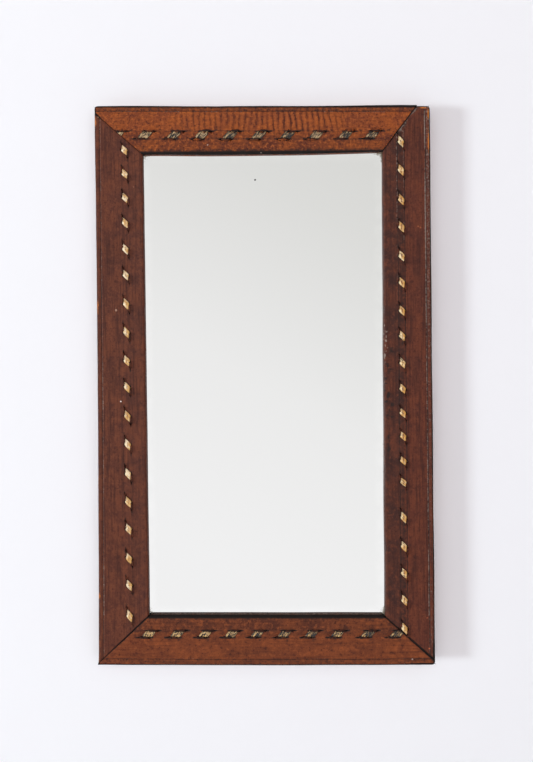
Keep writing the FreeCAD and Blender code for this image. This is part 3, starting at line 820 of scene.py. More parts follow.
@dataclass(frozen=True)
class HideFinish(Finish):
    """Finish of one rail's leather."""

    name: str
    outer: Colour
    inner: Colour
    light: Colour
    dark: Colour
    streaks: float
    mottling: float
    fineness: float
    pores: float
    patches: float
    marks: tuple[Mark, ...] = ()
    # Near black of the inked sight edge and seams, and of the outer contour, which is painted shade of the
    # rounded outer edge with dirt.
    edge: Colour = srgb(30, 24, 22)
    rubbed: Colour = srgb(196, 112, 48)
    # Grey of the bloom on the hide, also used for the painted highlight on the banks beside the crease and
    # the scribed lines.
    grey_bloom_and_highlight: Colour = srgb(150, 130, 120)
    # Dark colour of dirt and of painted shade: shade in the crease, down the lip into the recess, round the
    # slits and beside the stitches.
    grime_and_shade: Colour = srgb(46, 31, 28)
    roughness: float = 0.46
    patch_roughness: float = 0.14
    edge_roughness: float = 0.3
    shine: float = 0.16
    crest_share: float = 0.5
    relief: float = 0.12 * MM

    def paint(self, sheet: NodeSheet) -> dict[str, object]:
        """Lay out the nodes, which read the cover's own flat coordinates and wear.

        Args:
            sheet: Sheet of the material.

        Returns:
            Values of the shader's inputs.
        """
        flat = sheet.flat_place()
        grain = sheet.place(
            hide_grain_group(), Vector=flat, Streaks=self.streaks, Mottling=self.mottling,
            Fineness=self.fineness, Pores=self.pores,
        ).outputs
        creased = sheet.attribute("wrinkle")
        # Painted shade in the folds of the wrinkles.
        folded = sheet.times(grain["Wrinkle"], creased)
        base = sheet.mix(sheet.attribute("inwards"), self.outer, self.inner)
        for share, colour in (
            (sheet.times(grain["Patches"], self.patches), self.light), (grain["Pale"], self.light),
            (grain["Deep"], self.dark), (grain["Streak"], self.dark), (grain["Pore"], self.dark),
            # Painted highlight on the wrinkles' crests, then painted shade in their folds.
            (sheet.times(grain["Crest"], sheet.times(creased, self.crest_share)), self.light),
            (folded, self.dark),
        ):
            base = sheet.mix(share, base, colour)
        worn = None
        # Each mask mixes in its colour: the dark one carries dirt and painted shade, the grey one a grey
        # bloom and painted highlight, the near black one the inked sight edge and seams and the painted shade
        # of the rounded outer edge.
        for mask, colour, scale, ragged in (
            ("grime_and_shade", self.grime_and_shade, 260, 1.0), ("dust_and_highlight", self.grey_bloom_and_highlight, 420, 1.3),
            ("rub", self.rubbed, 330, 1.2), ("edge", self.edge, 300, 0.5),
        ):
            painted = sheet.attribute(mask)
            wear = sheet.place(wear_group(), Vector=flat, Mask=painted, Scale=scale, Break=ragged)
            worn = wear.outputs["Wear"]
            base = sheet.mix(worn, base, colour)
        for mark in self.marks:
            base = mark.lay(sheet, base, SIZES.front)
        rough = sheet.line(grain["Patches"], self.patch_roughness, self.roughness)
        return {
            "Base Color": base,
            "Roughness": sheet.plus(rough, sheet.times(worn, self.edge_roughness)),
            "Specular IOR Level": self.shine,
            "Normal": sheet.bump(sheet.minus(grain["Height"], folded), self.relief, 0.7),
        }


@dataclass(frozen=True)
class ThongFinish(Finish):
    """Finish of a lace: on the upright laces paler on the half where it rises and tan on the half where it
    sinks, which is painted light from the left; darker down the middle of its crown, which is painted shade
    of a crease with wear; darker where it dives into a slit, which is painted shade; with dark crack lines.
    """

    name: str
    pale: Colour
    tan: Colour
    # Colour down the middle of the crown: painted shade of a crease, with wear.
    worn: Colour
    # Colour of the crack lines, also of the painted shade where the lace dives into a slit.
    cracks_and_shade: Colour
    shade_and_wear_share: float
    crack_range: Span
    # How much paler the rising half is than the sinking half: painted light from the left.
    pale_side: float
    rim_dark: float
    tone_spread: float
    streaky: float
    pale_range: Span = (0.40, 0.62)
    shade_and_wear_range: Span = (0.26, 0.62)
    shade_and_wear_specks: float = 1.6
    relief: float = 0.16 * MM

    def paint(self, sheet: NodeSheet) -> dict[str, object]:
        """Lay out the nodes, which read the lace's own flat coordinates.

        Args:
            sheet: Sheet of the material.

        Returns:
            Values of the shader's inputs.
        """
        flat = sheet.flat_place()
        fibres = sheet.noise(sheet.scaled(flat, (820, 190, 1)), 1, 3, 0.6)
        tone = sheet.noise(flat, 260, 3, 0.6)
        own_tone = sheet.times(sheet.attribute("tone"), self.tone_spread)
        # Painted highlight on the half where the lace rises and painted shade on the half where it sinks.
        far_side = sheet.times(sheet.minus(sheet.attribute("side"), 0.5), self.pale_side)
        lit = sheet.plus(sheet.times(tone, 1 - self.streaky), sheet.times(fibres, self.streaky))
        lit = sheet.plus(sheet.minus(lit, far_side), own_tone)
        # Darker down the middle of the crown: painted shade of a crease, with wear.
        middle = sheet.times(sheet.attribute("middle"), self.shade_and_wear_share)
        specks = sheet.times(sheet.minus(sheet.noise(flat, 520, 3, 0.6), 0.5), self.shade_and_wear_specks)
        worn = sheet.minus(sheet.plus(middle, specks), own_tone)
        base = sheet.mix(sheet.stretch(lit, *self.pale_range), self.tan, self.pale)
        base = sheet.mix(sheet.stretch(worn, *self.shade_and_wear_range), base, self.worn)
        # Crack lines, darker rims, and painted shade where the lace dives into a slit.
        for share in (
            sheet.stretch(sheet.plus(fibres, own_tone), *self.crack_range),
            sheet.times(sheet.attribute("rim"), self.rim_dark),
            sheet.attribute("sunk"),
        ):
            base = sheet.mix(share, base, self.cracks_and_shade)
        return {
            "Base Color": base,
            "Roughness": sheet.line(tone, 0.2, 0.32),
            "Normal": sheet.bump(fibres, self.relief, 0.8),
        }


class SectionPoint(NamedTuple):
    """Point across a cover: distance in from the outer or the sight edge, and depth to the front."""

    inset: float
    from_sight: bool
    front: float


class HidePoint(NamedTuple):
    """Point of the hide with its distances, in metres.

    They run along the rail, in from the rail's and the strip's outer edge, and from the sight edge, the
    lacing's middle line and the face.
    """

    place: Vector
    along: float
    inward: float
    inset: float
    from_sight: float
    from_lacing: float
    out: float


class Slit(NamedTuple):
    """One slit: its place inwards and its two ends along the rail."""

    line: float
    low: float
    high: float


@dataclass(frozen=True)
class HandWork:
    """How hand-laid leather departs from a straight strip, in metres and in lumps in a metre."""

    wander: float = 0.35 * MM
    wander_lumps: float = 14
    settle: Span = (0.0, 30 * MM)
    seam_calm: Span = (1 * MM, 14 * MM)
    edge_reach: Span = (14 * MM, 4 * MM)
    end_reach: Span = (20 * MM, 4 * MM)
    drift_reach: Span = (8 * MM, 22 * MM)
    hollow_middle: float = 165 * MM
    hollow_length: float = 75 * MM
    hollow_reach: Span = (4 * MM, 20 * MM)
    droop: float = 1.2
    droop_run: Span = (195 * MM, 310 * MM)
    toe: float = 0.7 * MM
    toe_height: float = 5 * MM
    toe_length: float = 14 * MM
    seam_sway: float = 0.5 * MM
    seam_sway_reach: float = 5 * MM
    seam_sink: float = 0.55 * MM
    seam_sink_reach: float = 0.9 * MM
    wave: float = 0.22 * MM
    wave_lumps: Span = (25, 45)
    crease_depth: float = 0.5 * MM
    crease_width: float = 0.55 * MM
    lacing_band: float = 3.6 * MM
    pillow: float = 0.32 * MM
    pillow_run: Span = (5 * MM, 12 * MM)
    pull: float = 0.35 * MM
    pull_reach: float = 5 * MM
    ripple: float = 0.12 * MM
    ripple_pitch: float = 9 * MM
    hump: float = 0.45 * MM
    hump_reach: float = 4 * MM
    hump_ridge: float = 0.6 * MM
    hump_width: float = 1.6 * MM
    wrinkle_middle: float = 14 * MM
    wrinkle_reach: float = 13 * MM
    wrinkle_from: Span = (66 * MM, 100 * MM)
    wrinkle_until: Span = (275 * MM, 215 * MM)


@dataclass(frozen=True)
class WearAndPaintedLightReach:
    """Where each kind of wear and painted light begins and ends on the hide, in metres, and how strong some
    kinds are.
    """

    tone_change: Span = (-4 * MM, 4 * MM)
    inked_side: Span = (-8 * MM, -1.5 * MM)
    face: Span = (-5 * MM, -2.5 * MM)
    end_margin: float = 0.3 * MM
    crease: float = 0.6 * MM
    rim_run: float = 1 * MM
    lacing: float = 4.5 * MM
    lip: Span = (9 * MM, 1.5 * MM)
    bare_depth: Span = (1.8 * MM, 3.6 * MM)
    bloom_depth: Span = (4.0 * MM, 5.4 * MM)
    bloom: Span = (3 * MM, 1 * MM)
    corner: Span = (45 * MM, 10 * MM)
    corner_band: Span = (3.1 * MM, 1.7 * MM)
    bank: float = 0.7 * MM
    bank_fade: Span = (120 * MM, 400 * MM)
    scribe_bank: float = 0.9 * MM
    scribe_width: float = 0.5 * MM
    scribe_run: Span = (300 * MM, 60 * MM)
    scuff: Span = (5.5 * MM, 2 * MM)
    rough: Span = (17 * MM, 6 * MM)
    rough_ridge: float = 4.0 * MM
    rough_width: float = 2.0 * MM
    hump_shade_width: float = 1.4 * MM
    hump_shade_length: float = 3.6 * MM
    slit: float = 1.1 * MM
    slit_end: float = 2.2 * MM
    slit_line: float = 0.6 * MM
    slit_limit: float = 4 * MM
    slit_end_limit: float = 6 * MM
    rubbed: Span = (3.2 * MM, 0.6 * MM)
    rubbed_side: Span = (-3 * MM, -1 * MM)
    patch_grime: float = 0.62
    patch_dust: float = 0.42
    scribe_highlight_and_dust: float = 0.42
    scuff_dust: float = 0.85
    spot_grime: float = 1.1
    rough_grime: float = 0.8


SCUFFED = Spot(236, 26)
ROUGH_PATCH = Spot(285, 80)
ROUGH_SPOTS = (Spot(262, 6), Spot(287, 10), Spot(341, 15))
LEFT_RUBS = (Spot(17, 6), Spot(200, 9), Spot(489, 4))
RIGHT_RUBS = (Spot(8, 6), Spot(36, 11), Spot(22, 8, 0.5))
RIGHT_BAND = Spot(1.9, 0.85, 0.95)
RIGHT_CORNER = Spot(1.9, 0.9, 0.9)
RIGHT_CORNER_IN = Spot(6.5, 3.4)
HIDE_MASKS = ("inwards", "edge", "grime_and_shade", "dust_and_highlight", "rub", "wrinkle")


@dataclass
class LeatherCover:
    """Strip of hide wrapped round one rail, slit for the lacing and cut at the seams."""

    rail: Rail
    finish: HideFinish
    work: HandWork = HandWork()
    reach: WearAndPaintedLightReach = WearAndPaintedLightReach()
    row_spacing: float = 1.2 * MM
    edge_round: float = 1.9 * MM
    sight_round: float = 2.3 * MM
    fold_round: float = 0.8 * MM
    pressed: float = 0.25 * MM
    slit_half_gap: float = 0.12 * MM
    slit_open: float = 0.6 * MM
    corner_turn_down: tuple[float, ...] = (2.8 * MM, 8 * MM, 9.9 * MM)
    crease_inset: float = 4.8 * MM
    crease_dark: float = 0.85
    # Strength of the painted highlight, with a grey dusting, on the crease's inner bank.
    crease_highlight_and_dust: float = 0.42
    rim_dark: float = 0.38
    rim_dust: float = 0.0
    sag: float = 0.0
    outer_shift: Span = (0.0, 0.0)
    bow: float = 0.0
    end_shift: float = 0.0
    wrinkles: float = 0.0
    edge_band: float = 0.5 * MM
    sight_ink: float = 0.25
    sight_shift: Span = (0.0, 0.0)
    lip_shade: float = 0.0
    lip_bare: float = 0.0
    lip_dust: float = 0.0
    contour: float = 0.7
    contour_width: float = 1.3 * MM
    grime_and_shade: float = 0.0
    # Strengths of the painted shade round the open slits and along the scribed slit lines.
    slit_dark: float = 0.6
    scribed: float = 0.3
    # Painted shade beside each stitch where the hide humps over the lace: how far ahead, how far out and how
    # strong.
    hump_shade_spot: tuple[float, float, float] = (0.0, 0.0, 0.0)

    def section(self) -> list[SectionPoint]:
        """Lay out the strip's section, from the back flap round the face to the turn-in.

        Returns:
            The points across the strip, in order.
        """
        back, front, lip = SIZES.flap_back + self.pressed, SIZES.front, SIZES.turn_in_back
        fold, outer, sight = self.fold_round, self.edge_round, self.sight_round
        side = front - outer - back - fold
        wall = front - sight - lip - fold
        half_turns = (0, math.pi / 4, math.pi / 2)
        turns = [step * math.pi / 10 for step in range(6)]
        from_outer = [(SIZES.flap * share, back) for share in (1, 0.7, 0.35)]
        from_outer += [(fold - fold * math.sin(turn), back + fold - fold * math.cos(turn))
                       for turn in half_turns]
        from_outer += [(0.0, back + fold + side * step / 5) for step in range(1, 5)]
        from_outer += [(outer - outer * math.cos(turn), front - outer + outer * math.sin(turn))
                       for turn in turns]
        from_outer += [(inset * MM, front) for inset in self.face_insets()]
        from_sight = [(inset * MM, front) for inset in (7, 5.2, 3.8)]
        from_sight += [(sight - sight * math.sin(turn), front - sight + sight * math.cos(turn))
                       for turn in turns]
        from_sight += [(0.0, front - sight - wall * step / 3) for step in range(1, 4)]
        from_sight += [(fold - fold * math.cos(turn), lip + fold - fold * math.sin(turn))
                       for turn in half_turns[1:]]
        from_sight += [(SIZES.turn_in * share, lip) for share in (0.5, 1)]
        return ([SectionPoint(inset, False, depth) for inset, depth in from_outer]
                + [SectionPoint(inset, True, depth) for inset, depth in from_sight])

    def face_insets(self) -> list[float]:
        """Space the columns that cross the face at the rail's start, close at the crease and the slits.

        Returns:
            Distances in from the outer edge, in millimetres.
        """
        crease = self.crease_inset / MM
        near = [2.6, 3.3] + [crease + step * 0.3 for step in range(-3, 4)] + [crease + 1.6]
        plain = [8.5 + 2.2 * step for step in range(7)]
        gap, half = self.slit_half_gap / MM, self.rail.lacing.spacing / 2 / MM
        middle = self.rail.lacing.inset_start / MM
        beside = [-2.2, -1.0, -0.5, -gap, gap, 0.5, 1.0, 2.2]
        first, second = ([line + step for step in beside] for line in (middle - half, middle + half))
        return near + plain + first + [middle] + second

    def drift(self, inset: float, along: float) -> float:
        """How far a column of the face moves over to stay beside the lacing."""
        moved = self.rail.lacing_inset(along) - self.rail.lacing.inset_start
        return moved * smooth_step(*self.work.drift_reach, inset)

    def outer_place(self, along: float) -> float:
        """Distance in of the strip's outer edge, negative where it stands proud of the wood's."""
        share = along / self.rail.length
        return -blend(*self.outer_shift, share) - self.bow * arch(share)

    def sight_place(self, along: float) -> float:
        """Distance in of the strip's sight edge, which the glue has drawn over a little."""
        return self.rail.width(along) + blend(*self.sight_shift, along / self.rail.length)

    def rows(self) -> list[float]:
        """Space the strip's rows, closer together at its ends.

        Returns:
            Places along the rail.
        """
        ends = [step * 0.5 * MM for step in range(6)]
        between = self.rail.length - 2 * ends[-1]
        count = round(between / self.row_spacing)
        middle = [ends[-1] + between / count * index for index in range(1, count)]
        return ends + middle + [self.rail.length - place for place in reversed(ends)]

    @cached_property
    def stitches(self) -> list[Stitch]:
        """Stitches of the lace on this rail."""
        return self.rail.lacing.stitches()

    @cached_property
    def slits(self) -> list[Slit]:
        """Lay out two slits for every stitch, each with a spare end.

        Returns:
            The slits.
        """
        spare = self.rail.lacing.spare
        found = []
        for stitch in self.stitches:
            for second, middle in zip((False, True), stitch.ends):
                low = middle - stitch.width / 2 - (0 if second else spare)
                high = middle + stitch.width / 2 + (spare if second else 0)
                found.append(Slit(self.rail.slit_line(second, (low + high) / 2), low, high))
        return found

    def build(self) -> Object:
        """Fold the strip over its rail, cut it and give it thickness.

        Returns:
            The cover, in the mirror's own frame.
        """
        section, rows = self.section(), self.rows()
        bm = bmesh.new()
        bmesh.ops.create_grid(bm, x_segments=len(section) - 1, y_segments=len(rows) - 1, size=1)
        bm.verts.ensure_lookup_table()
        strip = bm.loops.layers.uv.new("strip")
        across = self.running_length(section)
        columns = len(section)
        for index, vert in enumerate(bm.verts):
            point, along = section[index % columns], rows[index // columns]
            inward = point.inset + self.drift(point.inset, along)
            if point.from_sight:
                inward = self.sight_place(along) - point.inset
            vert.co = self.rail.place(along, inward, point.front)
        for face in bm.faces:
            for loop in face.loops:
                loop[strip].uv = (rows[loop.vert.index // columns], across[loop.vert.index % columns])
        self.open_slits(bm)
        cut_at_seams(bm, self.rail)
        self.close_corners(bm)
        bmesh.ops.recalc_face_normals(bm, faces=bm.faces)
        self.relief(bm)
        self.paint_wear(bm)
        return self.finished(bm)

    @staticmethod
    def running_length(section: list[SectionPoint]) -> list[float]:
        """Measure across the flat strip.

        Args:
            section: Points across the strip.

        Returns:
            Length from the flap's edge to each point.
        """
        total, lengths = 0.0, []
        previous = None
        for point in section:
            inward = SIZES.side_rail_top - point.inset if point.from_sight else point.inset
            if previous:
                total += math.dist(previous, (inward, point.front))
            previous = (inward, point.front)
            lengths.append(total)
        return lengths

    def open_slits(self, bm: BMesh) -> None:
        """Delete the faces in each slit and draw its two edges apart like a lens.

        Args:
            bm: Mesh of the strip.
        """
        doomed = set()
        moved: dict[BMVert, Vector] = {}
        for face in bm.faces:
            middle = face.calc_center_median()
            if -middle.y < SIZES.front - FLUSH:
                continue
            along, inward = self.rail.measure(middle.x, middle.z)
            for line, low, high in self.slits:
                if abs(inward - line) >= self.slit_half_gap / 2 or not low < along < high:
                    continue
                doomed.add(face)
                for vert in face.verts:
                    place, inset = self.rail.measure(vert.co.x, vert.co.z)
                    gape = self.slit_open * max(0.0, arch((place - low) / (high - low))) ** 0.6
                    edge = inset + (gape if inset > line else -gape)
                    moved[vert] = self.rail.place(place, edge, SIZES.front)
        for vert, place in moved.items():
            vert.co = place
        bmesh.ops.delete(bm, geom=list(doomed), context="FACES")

    def close_corners(self, bm: BMesh) -> None:
        """Turn the leather down over the end of the frame where the strip goes round a corner.

        Args:
            bm: Mesh of the strip.
        """
        for end in (0.0, self.rail.length):
            edges = [edge for edge in bm.edges if edge.is_boundary and all(
                abs(self.rail.measure(vert.co.x, vert.co.z)[0] - end) < FLUSH
                and -vert.co.y > SIZES.front - FLUSH for vert in edge.verts)]
            for drop in self.corner_turn_down if edges else ():
                made = bmesh.ops.extrude_edge_only(bm, edges=edges)["geom"]
                edges = [item for item in made if isinstance(item, BMEdge)]
                verts = [item for item in made if isinstance(item, BMVert)]
                bmesh.ops.translate(bm, verts=verts, vec=Vector((0, drop, 0)))

    def round_corner(self, along: float, inward: float) -> tuple[float, float]:
        """Draw a point in to the frame's rounded corner.

        Args:
            along: Distance along the rail.
            inward: Distance in from the outer edge.

        Returns:
            Both distances, drawn in where the point lies outside the round.
        """
        at_start = along < self.rail.length / 2
        from_end = along if at_start else self.rail.length - along
        radius = SEAMS[self.rail.start if at_start else self.rail.end].corner_round
        offset = Vector((radius - from_end, radius - inward))
        if min(offset) > 0 and offset.length > radius:
            offset *= radius / offset.length
            from_end, inward = radius - offset.x, radius - offset.y
        return from_end if at_start else self.rail.length - from_end, inward

    def wander(self, vert: BMVert) -> None:
        """Round the frame's corners in plan and let seams and edges wander as hand-cut leather does.

        Args:
            vert: Point of the strip, which is moved.
        """
        work, length = self.work, self.rail.length
        along, inward = self.round_corner(*self.rail.measure(vert.co.x, vert.co.z))
        fade = smooth_step(*work.settle, min(along, length - along))
        fade *= smooth_step(*work.seam_calm, self.seam_distance(vert.co))
        inward += work.wander * fade * lumps(along * work.wander_lumps, 0, self.rail.seed * 3.0)
        inward += self.outer_place(along) * smooth_step(*work.edge_reach, inward)
        along += self.end_shift * smooth_step(*work.end_reach, length - along)
        hollow = bell(along - work.hollow_middle, work.hollow_length)
        hollow *= smooth_step(*work.hollow_reach, inward)
        inward += self.sag * (hollow - work.droop * smooth_step(*work.droop_run, along))
        vert.co = self.rail.place(along, inward, -vert.co.y)
        toe = SIZES.outer(Corner.BOTTOM_LEFT)
        spread = fading(vert.co.z - toe.y, work.toe_height) * fading(vert.co.x - toe.x, work.toe_length)
        vert.co.x -= work.toe * spread
        for corner in self.rail.corners:
            share, away = SEAM_LINES[corner].measure(vert.co)
            sway = work.seam_sway * lumps(share * 5, 1.5, corner.seed) * arch(share)
            vert.co += SEAM_LINES[corner].across * (sway * fading(away, work.seam_sway_reach))

    def seam_distance(self, place: Vector) -> float:
        """Distance from a point of the face to the nearest of the cover's seams."""
        return min(SEAM_LINES[corner].measure(place)[1] for corner in self.rail.corners)

    def seam_ink(self, place: Vector) -> float:
        """How black a point is beside the cover's seams, whose edges are inked."""
        return max(SEAMS[corner].ink(*SEAM_LINES[corner].measure(place)) for corner in self.rail.corners)

    def locate(self, place: Vector) -> HidePoint:
        """Find where a point lies on the hide.

        Args:
            place: Point in the mirror's frame.

        Returns:
            The point with its distances.
        """
        along, inward = self.rail.measure(place.x, place.z)
        return HidePoint(
            place, along, inward, inward - self.outer_place(along), self.sight_place(along) - inward,
            inward - self.rail.lacing_inset(along), -place.y - SIZES.front)

    def relief(self, bm: BMesh) -> None:
        """Move the strip's points as a hand would, then raise and sink its face.

        Args:
            bm: Mesh of the strip.
        """
        for vert in bm.verts:
            self.wander(vert)
            if -vert.co.y >= SIZES.front - FLUSH:
                vert.co.y -= self.rise(self.locate(vert.co))

    def rise(self, point: HidePoint) -> float:
        """Add up the waves of the hide, the crease, the lacing's pull, ripples and rounded edges.

        Args:
            point: Point of the face.

        Returns:
            How far it stands out of the plain face.
        """
        work, along = self.work, point.along
        lengthwise, crosswise = work.wave_lumps
        rise = work.wave * lumps(along * lengthwise, point.inward * crosswise, self.rail.seed)
        rise -= work.crease_depth * bell(point.inset - self.crease_inset, work.crease_width)
        nearest = min(abs(along - stitch.centre) for stitch in self.stitches)
        pull = work.pillow * smooth_step(*work.pillow_run, nearest)
        pull -= work.pull * bell(nearest, work.pull_reach)
        rise += pull * bell(point.from_lacing, work.lacing_band) + self.hump(point)
        rise -= work.ripple * self.wrinkle(point) * math.cos(2 * math.pi * along / work.ripple_pitch)
        rise -= work.seam_sink * fading(self.seam_distance(point.place), work.seam_sink_reach)
        for edge in (along, self.rail.length + self.end_shift - along):
            inside = self.edge_round - max(0.0, edge)
            if inside > 0:
                rise -= self.edge_round - math.sqrt(self.edge_round ** 2 - inside ** 2)
        return rise

    def wrinkle(self, point: HidePoint) -> float:
        """Find how strong the fine wrinkles across the strip are.

        Args:
            point: Point of the hide.

        Returns:
            Strength from 0 to 1.
        """
        work = self.work
        patch = 0.6 + 0.4 * smooth_step(-0.5, 0.3, lumps(point.along * 16, point.inward * 40, 1.3))
        within = bell(point.inward - work.wrinkle_middle, work.wrinkle_reach)
        within *= smooth_step(*work.wrinkle_from, point.along) * smooth_step(*work.wrinkle_until, point.along)
        return self.wrinkles * patch * within

    def hump(self, point: HidePoint) -> float:
        """Find how far the hide is pushed up outside a slit's spare end.

        Args:
            point: Point of the face.

        Returns:
            Height of the hump.
        """
        work, highest = self.work, 0.0
        middle = point.inward - point.from_lacing
        for line, low, high in self.slits if abs(point.from_lacing) > self.rail.lacing.spacing / 2 else ():
            away = abs(point.inward - line)
            beyond = max(low - point.along, point.along - high)
            if point.from_lacing * (line - middle) > 0 and max(away, beyond) < work.hump_reach:
                crest = bell(point.along - (low + high) / 2, (high - low) / 3)
                highest = max(highest, work.hump * crest * bell(away - work.hump_ridge, work.hump_width))
        return highest

    def paint_wear(self, bm: BMesh) -> None:
        """Store on each point how worn, dark, grey or rubbed the hide is there, its painted shade and
        highlight included.

        Args:
            bm: Mesh of the strip.
        """
        layers = {name: bm.verts.layers.float.new(name) for name in HIDE_MASKS}
        for vert in bm.verts:
            values = self.wear(self.locate(vert.co))
            for name, layer in layers.items():
                vert[layer] = values[name]

    def wear(self, point: HidePoint) -> dict[str, float]:
        """Find the wear of the hide at one point, with its painted shade and highlight.

        Args:
            point: Point of the hide.

        Returns:
            A number from 0 to 1 for each kind of wear and painted light.
        """
        reach = self.reach
        facing = smooth_step(*reach.face, point.out)
        bare = 1 - self.lip_bare * smooth_step(*reach.bare_depth, -point.out)
        sight = smooth_step(self.edge_band * 1.7, self.edge_band * 0.2, point.from_sight)
        from_end = min(point.along, self.rail.length + self.end_shift - point.along)
        outline = min(point.inset, from_end + reach.end_margin)
        # The outer contour is painted shade of the rounded outer edge, with dirt.
        contour = self.contour * smooth_step(self.contour_width * 1.5, self.contour_width * 0.8, outline)
        contour = max(contour, self.corner_edge_shade(point.place, outline))
        contour *= smooth_step(*reach.inked_side, point.out)
        rim = self.rim_dark * self.on_rim(point.inset)
        crease = self.crease_dark * bell(point.inset - self.crease_inset, reach.crease)
        lip = self.lip_shade * bare * smooth_step(*reach.lip, point.from_sight)
        polish = self.grime_and_shade * bell(point.from_lacing, reach.lacing)
        bloom = smooth_step(*reach.bloom_depth, -point.out) * smooth_step(*reach.bloom, point.from_sight)
        return {
            "inwards": smooth_step(*reach.tone_change, point.from_lacing),
            "edge": max(self.sight_ink * bare * sight, contour, self.seam_ink(point.place)),
            # Dirt and painted shade: the crease, the lip down into the recess, the slits and the humps beside
            # the stitches get painted shade, the rim outside the crease is darker, and the polish along the
            # lacing, the seam patch and the rough spots are dirt and wear.
            "grime_and_shade": max(
                self.slit_shade(point), max(crease, rim) * facing, lip, polish, self.hump_shading(point),
                reach.patch_grime * self.seam_patch(point), self.sight_spots(point)),
            "dust_and_highlight": max(self.dust_and_highlight(point) * facing, self.lip_dust * bloom),
            "rub": self.rubbed(point),
            "wrinkle": self.wrinkle(point),
        }

    def on_rim(self, inset: float) -> float:
        """How far a place lies on the rim outside the crease."""
        return smooth_step(self.crease_inset, self.crease_inset - self.reach.rim_run, inset)

    def corner_edge_shade(self, place: Vector, outline: float) -> float:
        """Black along the outer edge near the lower right corner: painted shade of the rounded edge, with
        dirt.
        """
        away = (Vector((place.x, place.z)) - SIZES.outer(Corner.BOTTOM_RIGHT)).length
        return smooth_step(*self.reach.corner, away) * smooth_step(*self.reach.corner_band, outline)

    def dust_and_highlight(self, point: HidePoint) -> float:
        """Find the grey on the crease's inner bank and on the right rail's scribed lines and seam: beside the
        crease and the scribed lines it is painted highlight with a grey dusting, by the seam and the scuffs
        it is worn grey.

        Args:
            point: Point of the hide.

        Returns:
            Strength from 0 to 1.
        """
        reach, along = self.reach, point.along
        # Painted highlight with a grey dusting on the crease's inner bank.
        bank = self.crease_highlight_and_dust * bell(point.inset - self.crease_inset - reach.bank, reach.crease)
        bank *= 0.75 + 0.5 * lumps(along * 30, 4.4, self.rail.seed)
        bank = max(bank, self.rim_dust * self.on_rim(point.inset))
        if self.rail.side is not Side.RIGHT:
            return bank
        bank *= 1.0 - 0.35 * smooth_step(*reach.bank_fade, along)
        # Painted highlight with a grey dusting on the bank beside each scribed slit line.
        line = min(abs(point.inward - self.rail.slit_line(second, along) - reach.scribe_bank)
                   for second in (False, True))
        scribe = bell(line, reach.scribe_width) * smooth_step(*reach.scribe_run, along)
        scuffs = smooth_step(0.05, 0.35, lumps(along * 420, point.from_sight * 640, 8.1))
        scuffs *= strongest((SCUFFED,), along) * smooth_step(*reach.scuff, point.from_sight)
        patch = self.seam_patch(point)
        return max(bank, reach.scribe_highlight_and_dust * scribe, reach.patch_dust * patch, reach.scuff_dust * scuffs)

    def seam_patch(self, point: HidePoint) -> float:
        """Find how far the right rail's hide is worn grey beside its upper seam.

        Args:
            point: Point of the hide.

        Returns:
            Strength from 0 to 1.
        """
        if self.rail.side is not Side.RIGHT:
            return 0.0
        share, away = SEAM_LINES[Corner.TOP_RIGHT].measure(point.place)
        width = (0.7 + 4.0 * bell(share - 0.45, 0.15) + 2.6 * bell(share - 0.05, 0.1)) * MM
        return bell(away, width) * smooth_step(0.75, 0.5, share)

    def sight_spots(self, point: HidePoint) -> float:
        """Find rough dark spots beside the glass on the right rail, where the surface has broken.

        Args:
            point: Point of the hide.

        Returns:
            Strength, 0 where there are none.
        """
        if self.rail.side is not Side.RIGHT:
            return 0.0
        reach, along, from_sight = self.reach, point.along, point.from_sight
        spots = strongest(ROUGH_SPOTS, along) * bell(from_sight - reach.rough_ridge, reach.rough_width)
        spots *= 0.75 + 0.9 * lumps(along * 240, from_sight * 260, 3.7)
        rough = smooth_step(0.05, 0.45, lumps(along * 210, from_sight * 240, 6.2))
        rough *= strongest((ROUGH_PATCH,), along) * smooth_step(*reach.rough, from_sight)
        return max(reach.spot_grime * spots, reach.rough_grime * rough)

    def hump_shading(self, point: HidePoint) -> float:
        """Find painted shade beside every stitch, where the hide humps over the lace.

        Args:
            point: Point of the hide.

        Returns:
            Strength from 0 to 1.
        """
        ahead, outward, strength = self.hump_shade_spot
        across = bell(point.from_lacing + outward, self.reach.hump_shade_width)
        nearest = min(abs(point.along - stitch.centre - ahead) for stitch in self.stitches)
        return strength * across * bell(nearest, self.reach.hump_shade_length)

    def slit_shade(self, point: HidePoint) -> float:
        """Find painted shade along the scribed slit lines and round each open slit with its spare end, fading
        past the slit's ends.

        Args:
            point: Point of the hide.

        Returns:
            Strength from 0 to 1.
        """
        reach, along = self.reach, point.along
        away = min(abs(point.inward - self.rail.slit_line(second, along)) for second in (False, True))
        darkest = self.scribed * bell(away, reach.slit_line)
        for line, low, high in self.slits:
            across, beyond = abs(point.inward - line), max(0.0, low - along, along - high)
            if across <= reach.slit_limit and beyond <= reach.slit_end_limit:
                dark = bell(across, reach.slit) * bell(beyond, reach.slit_end)
                darkest = max(darkest, self.slit_dark * dark)
        return darkest

    def rubbed(self, point: HidePoint) -> float:
        """Find how far the outer edge is rubbed through to raw orange hide.

        Args:
            point: Point of the hide.

        Returns:
            Strength from 0 to 1.
        """
        along, inset = point.along, point.inset
        near_edge = smooth_step(*self.reach.rubbed, inset) * smooth_step(*self.reach.rubbed_side, point.out)
        patch = smooth_step(0.3, 0.6, lumps(along * 35, 5.5, self.rail.seed * 2.0))
        if self.rail.side is Side.RIGHT:
            band = strongest((RIGHT_BAND,), inset) * strongest(RIGHT_RUBS, along)
            corner = strongest((RIGHT_CORNER,), along) * strongest((RIGHT_CORNER_IN,), inset)
            return max(near_edge * patch * 0.4, band, corner)
        if self.rail.side is Side.LEFT:
            patch = max(patch * 0.5, strongest(LEFT_RUBS, along))
        return near_edge * patch * 0.8

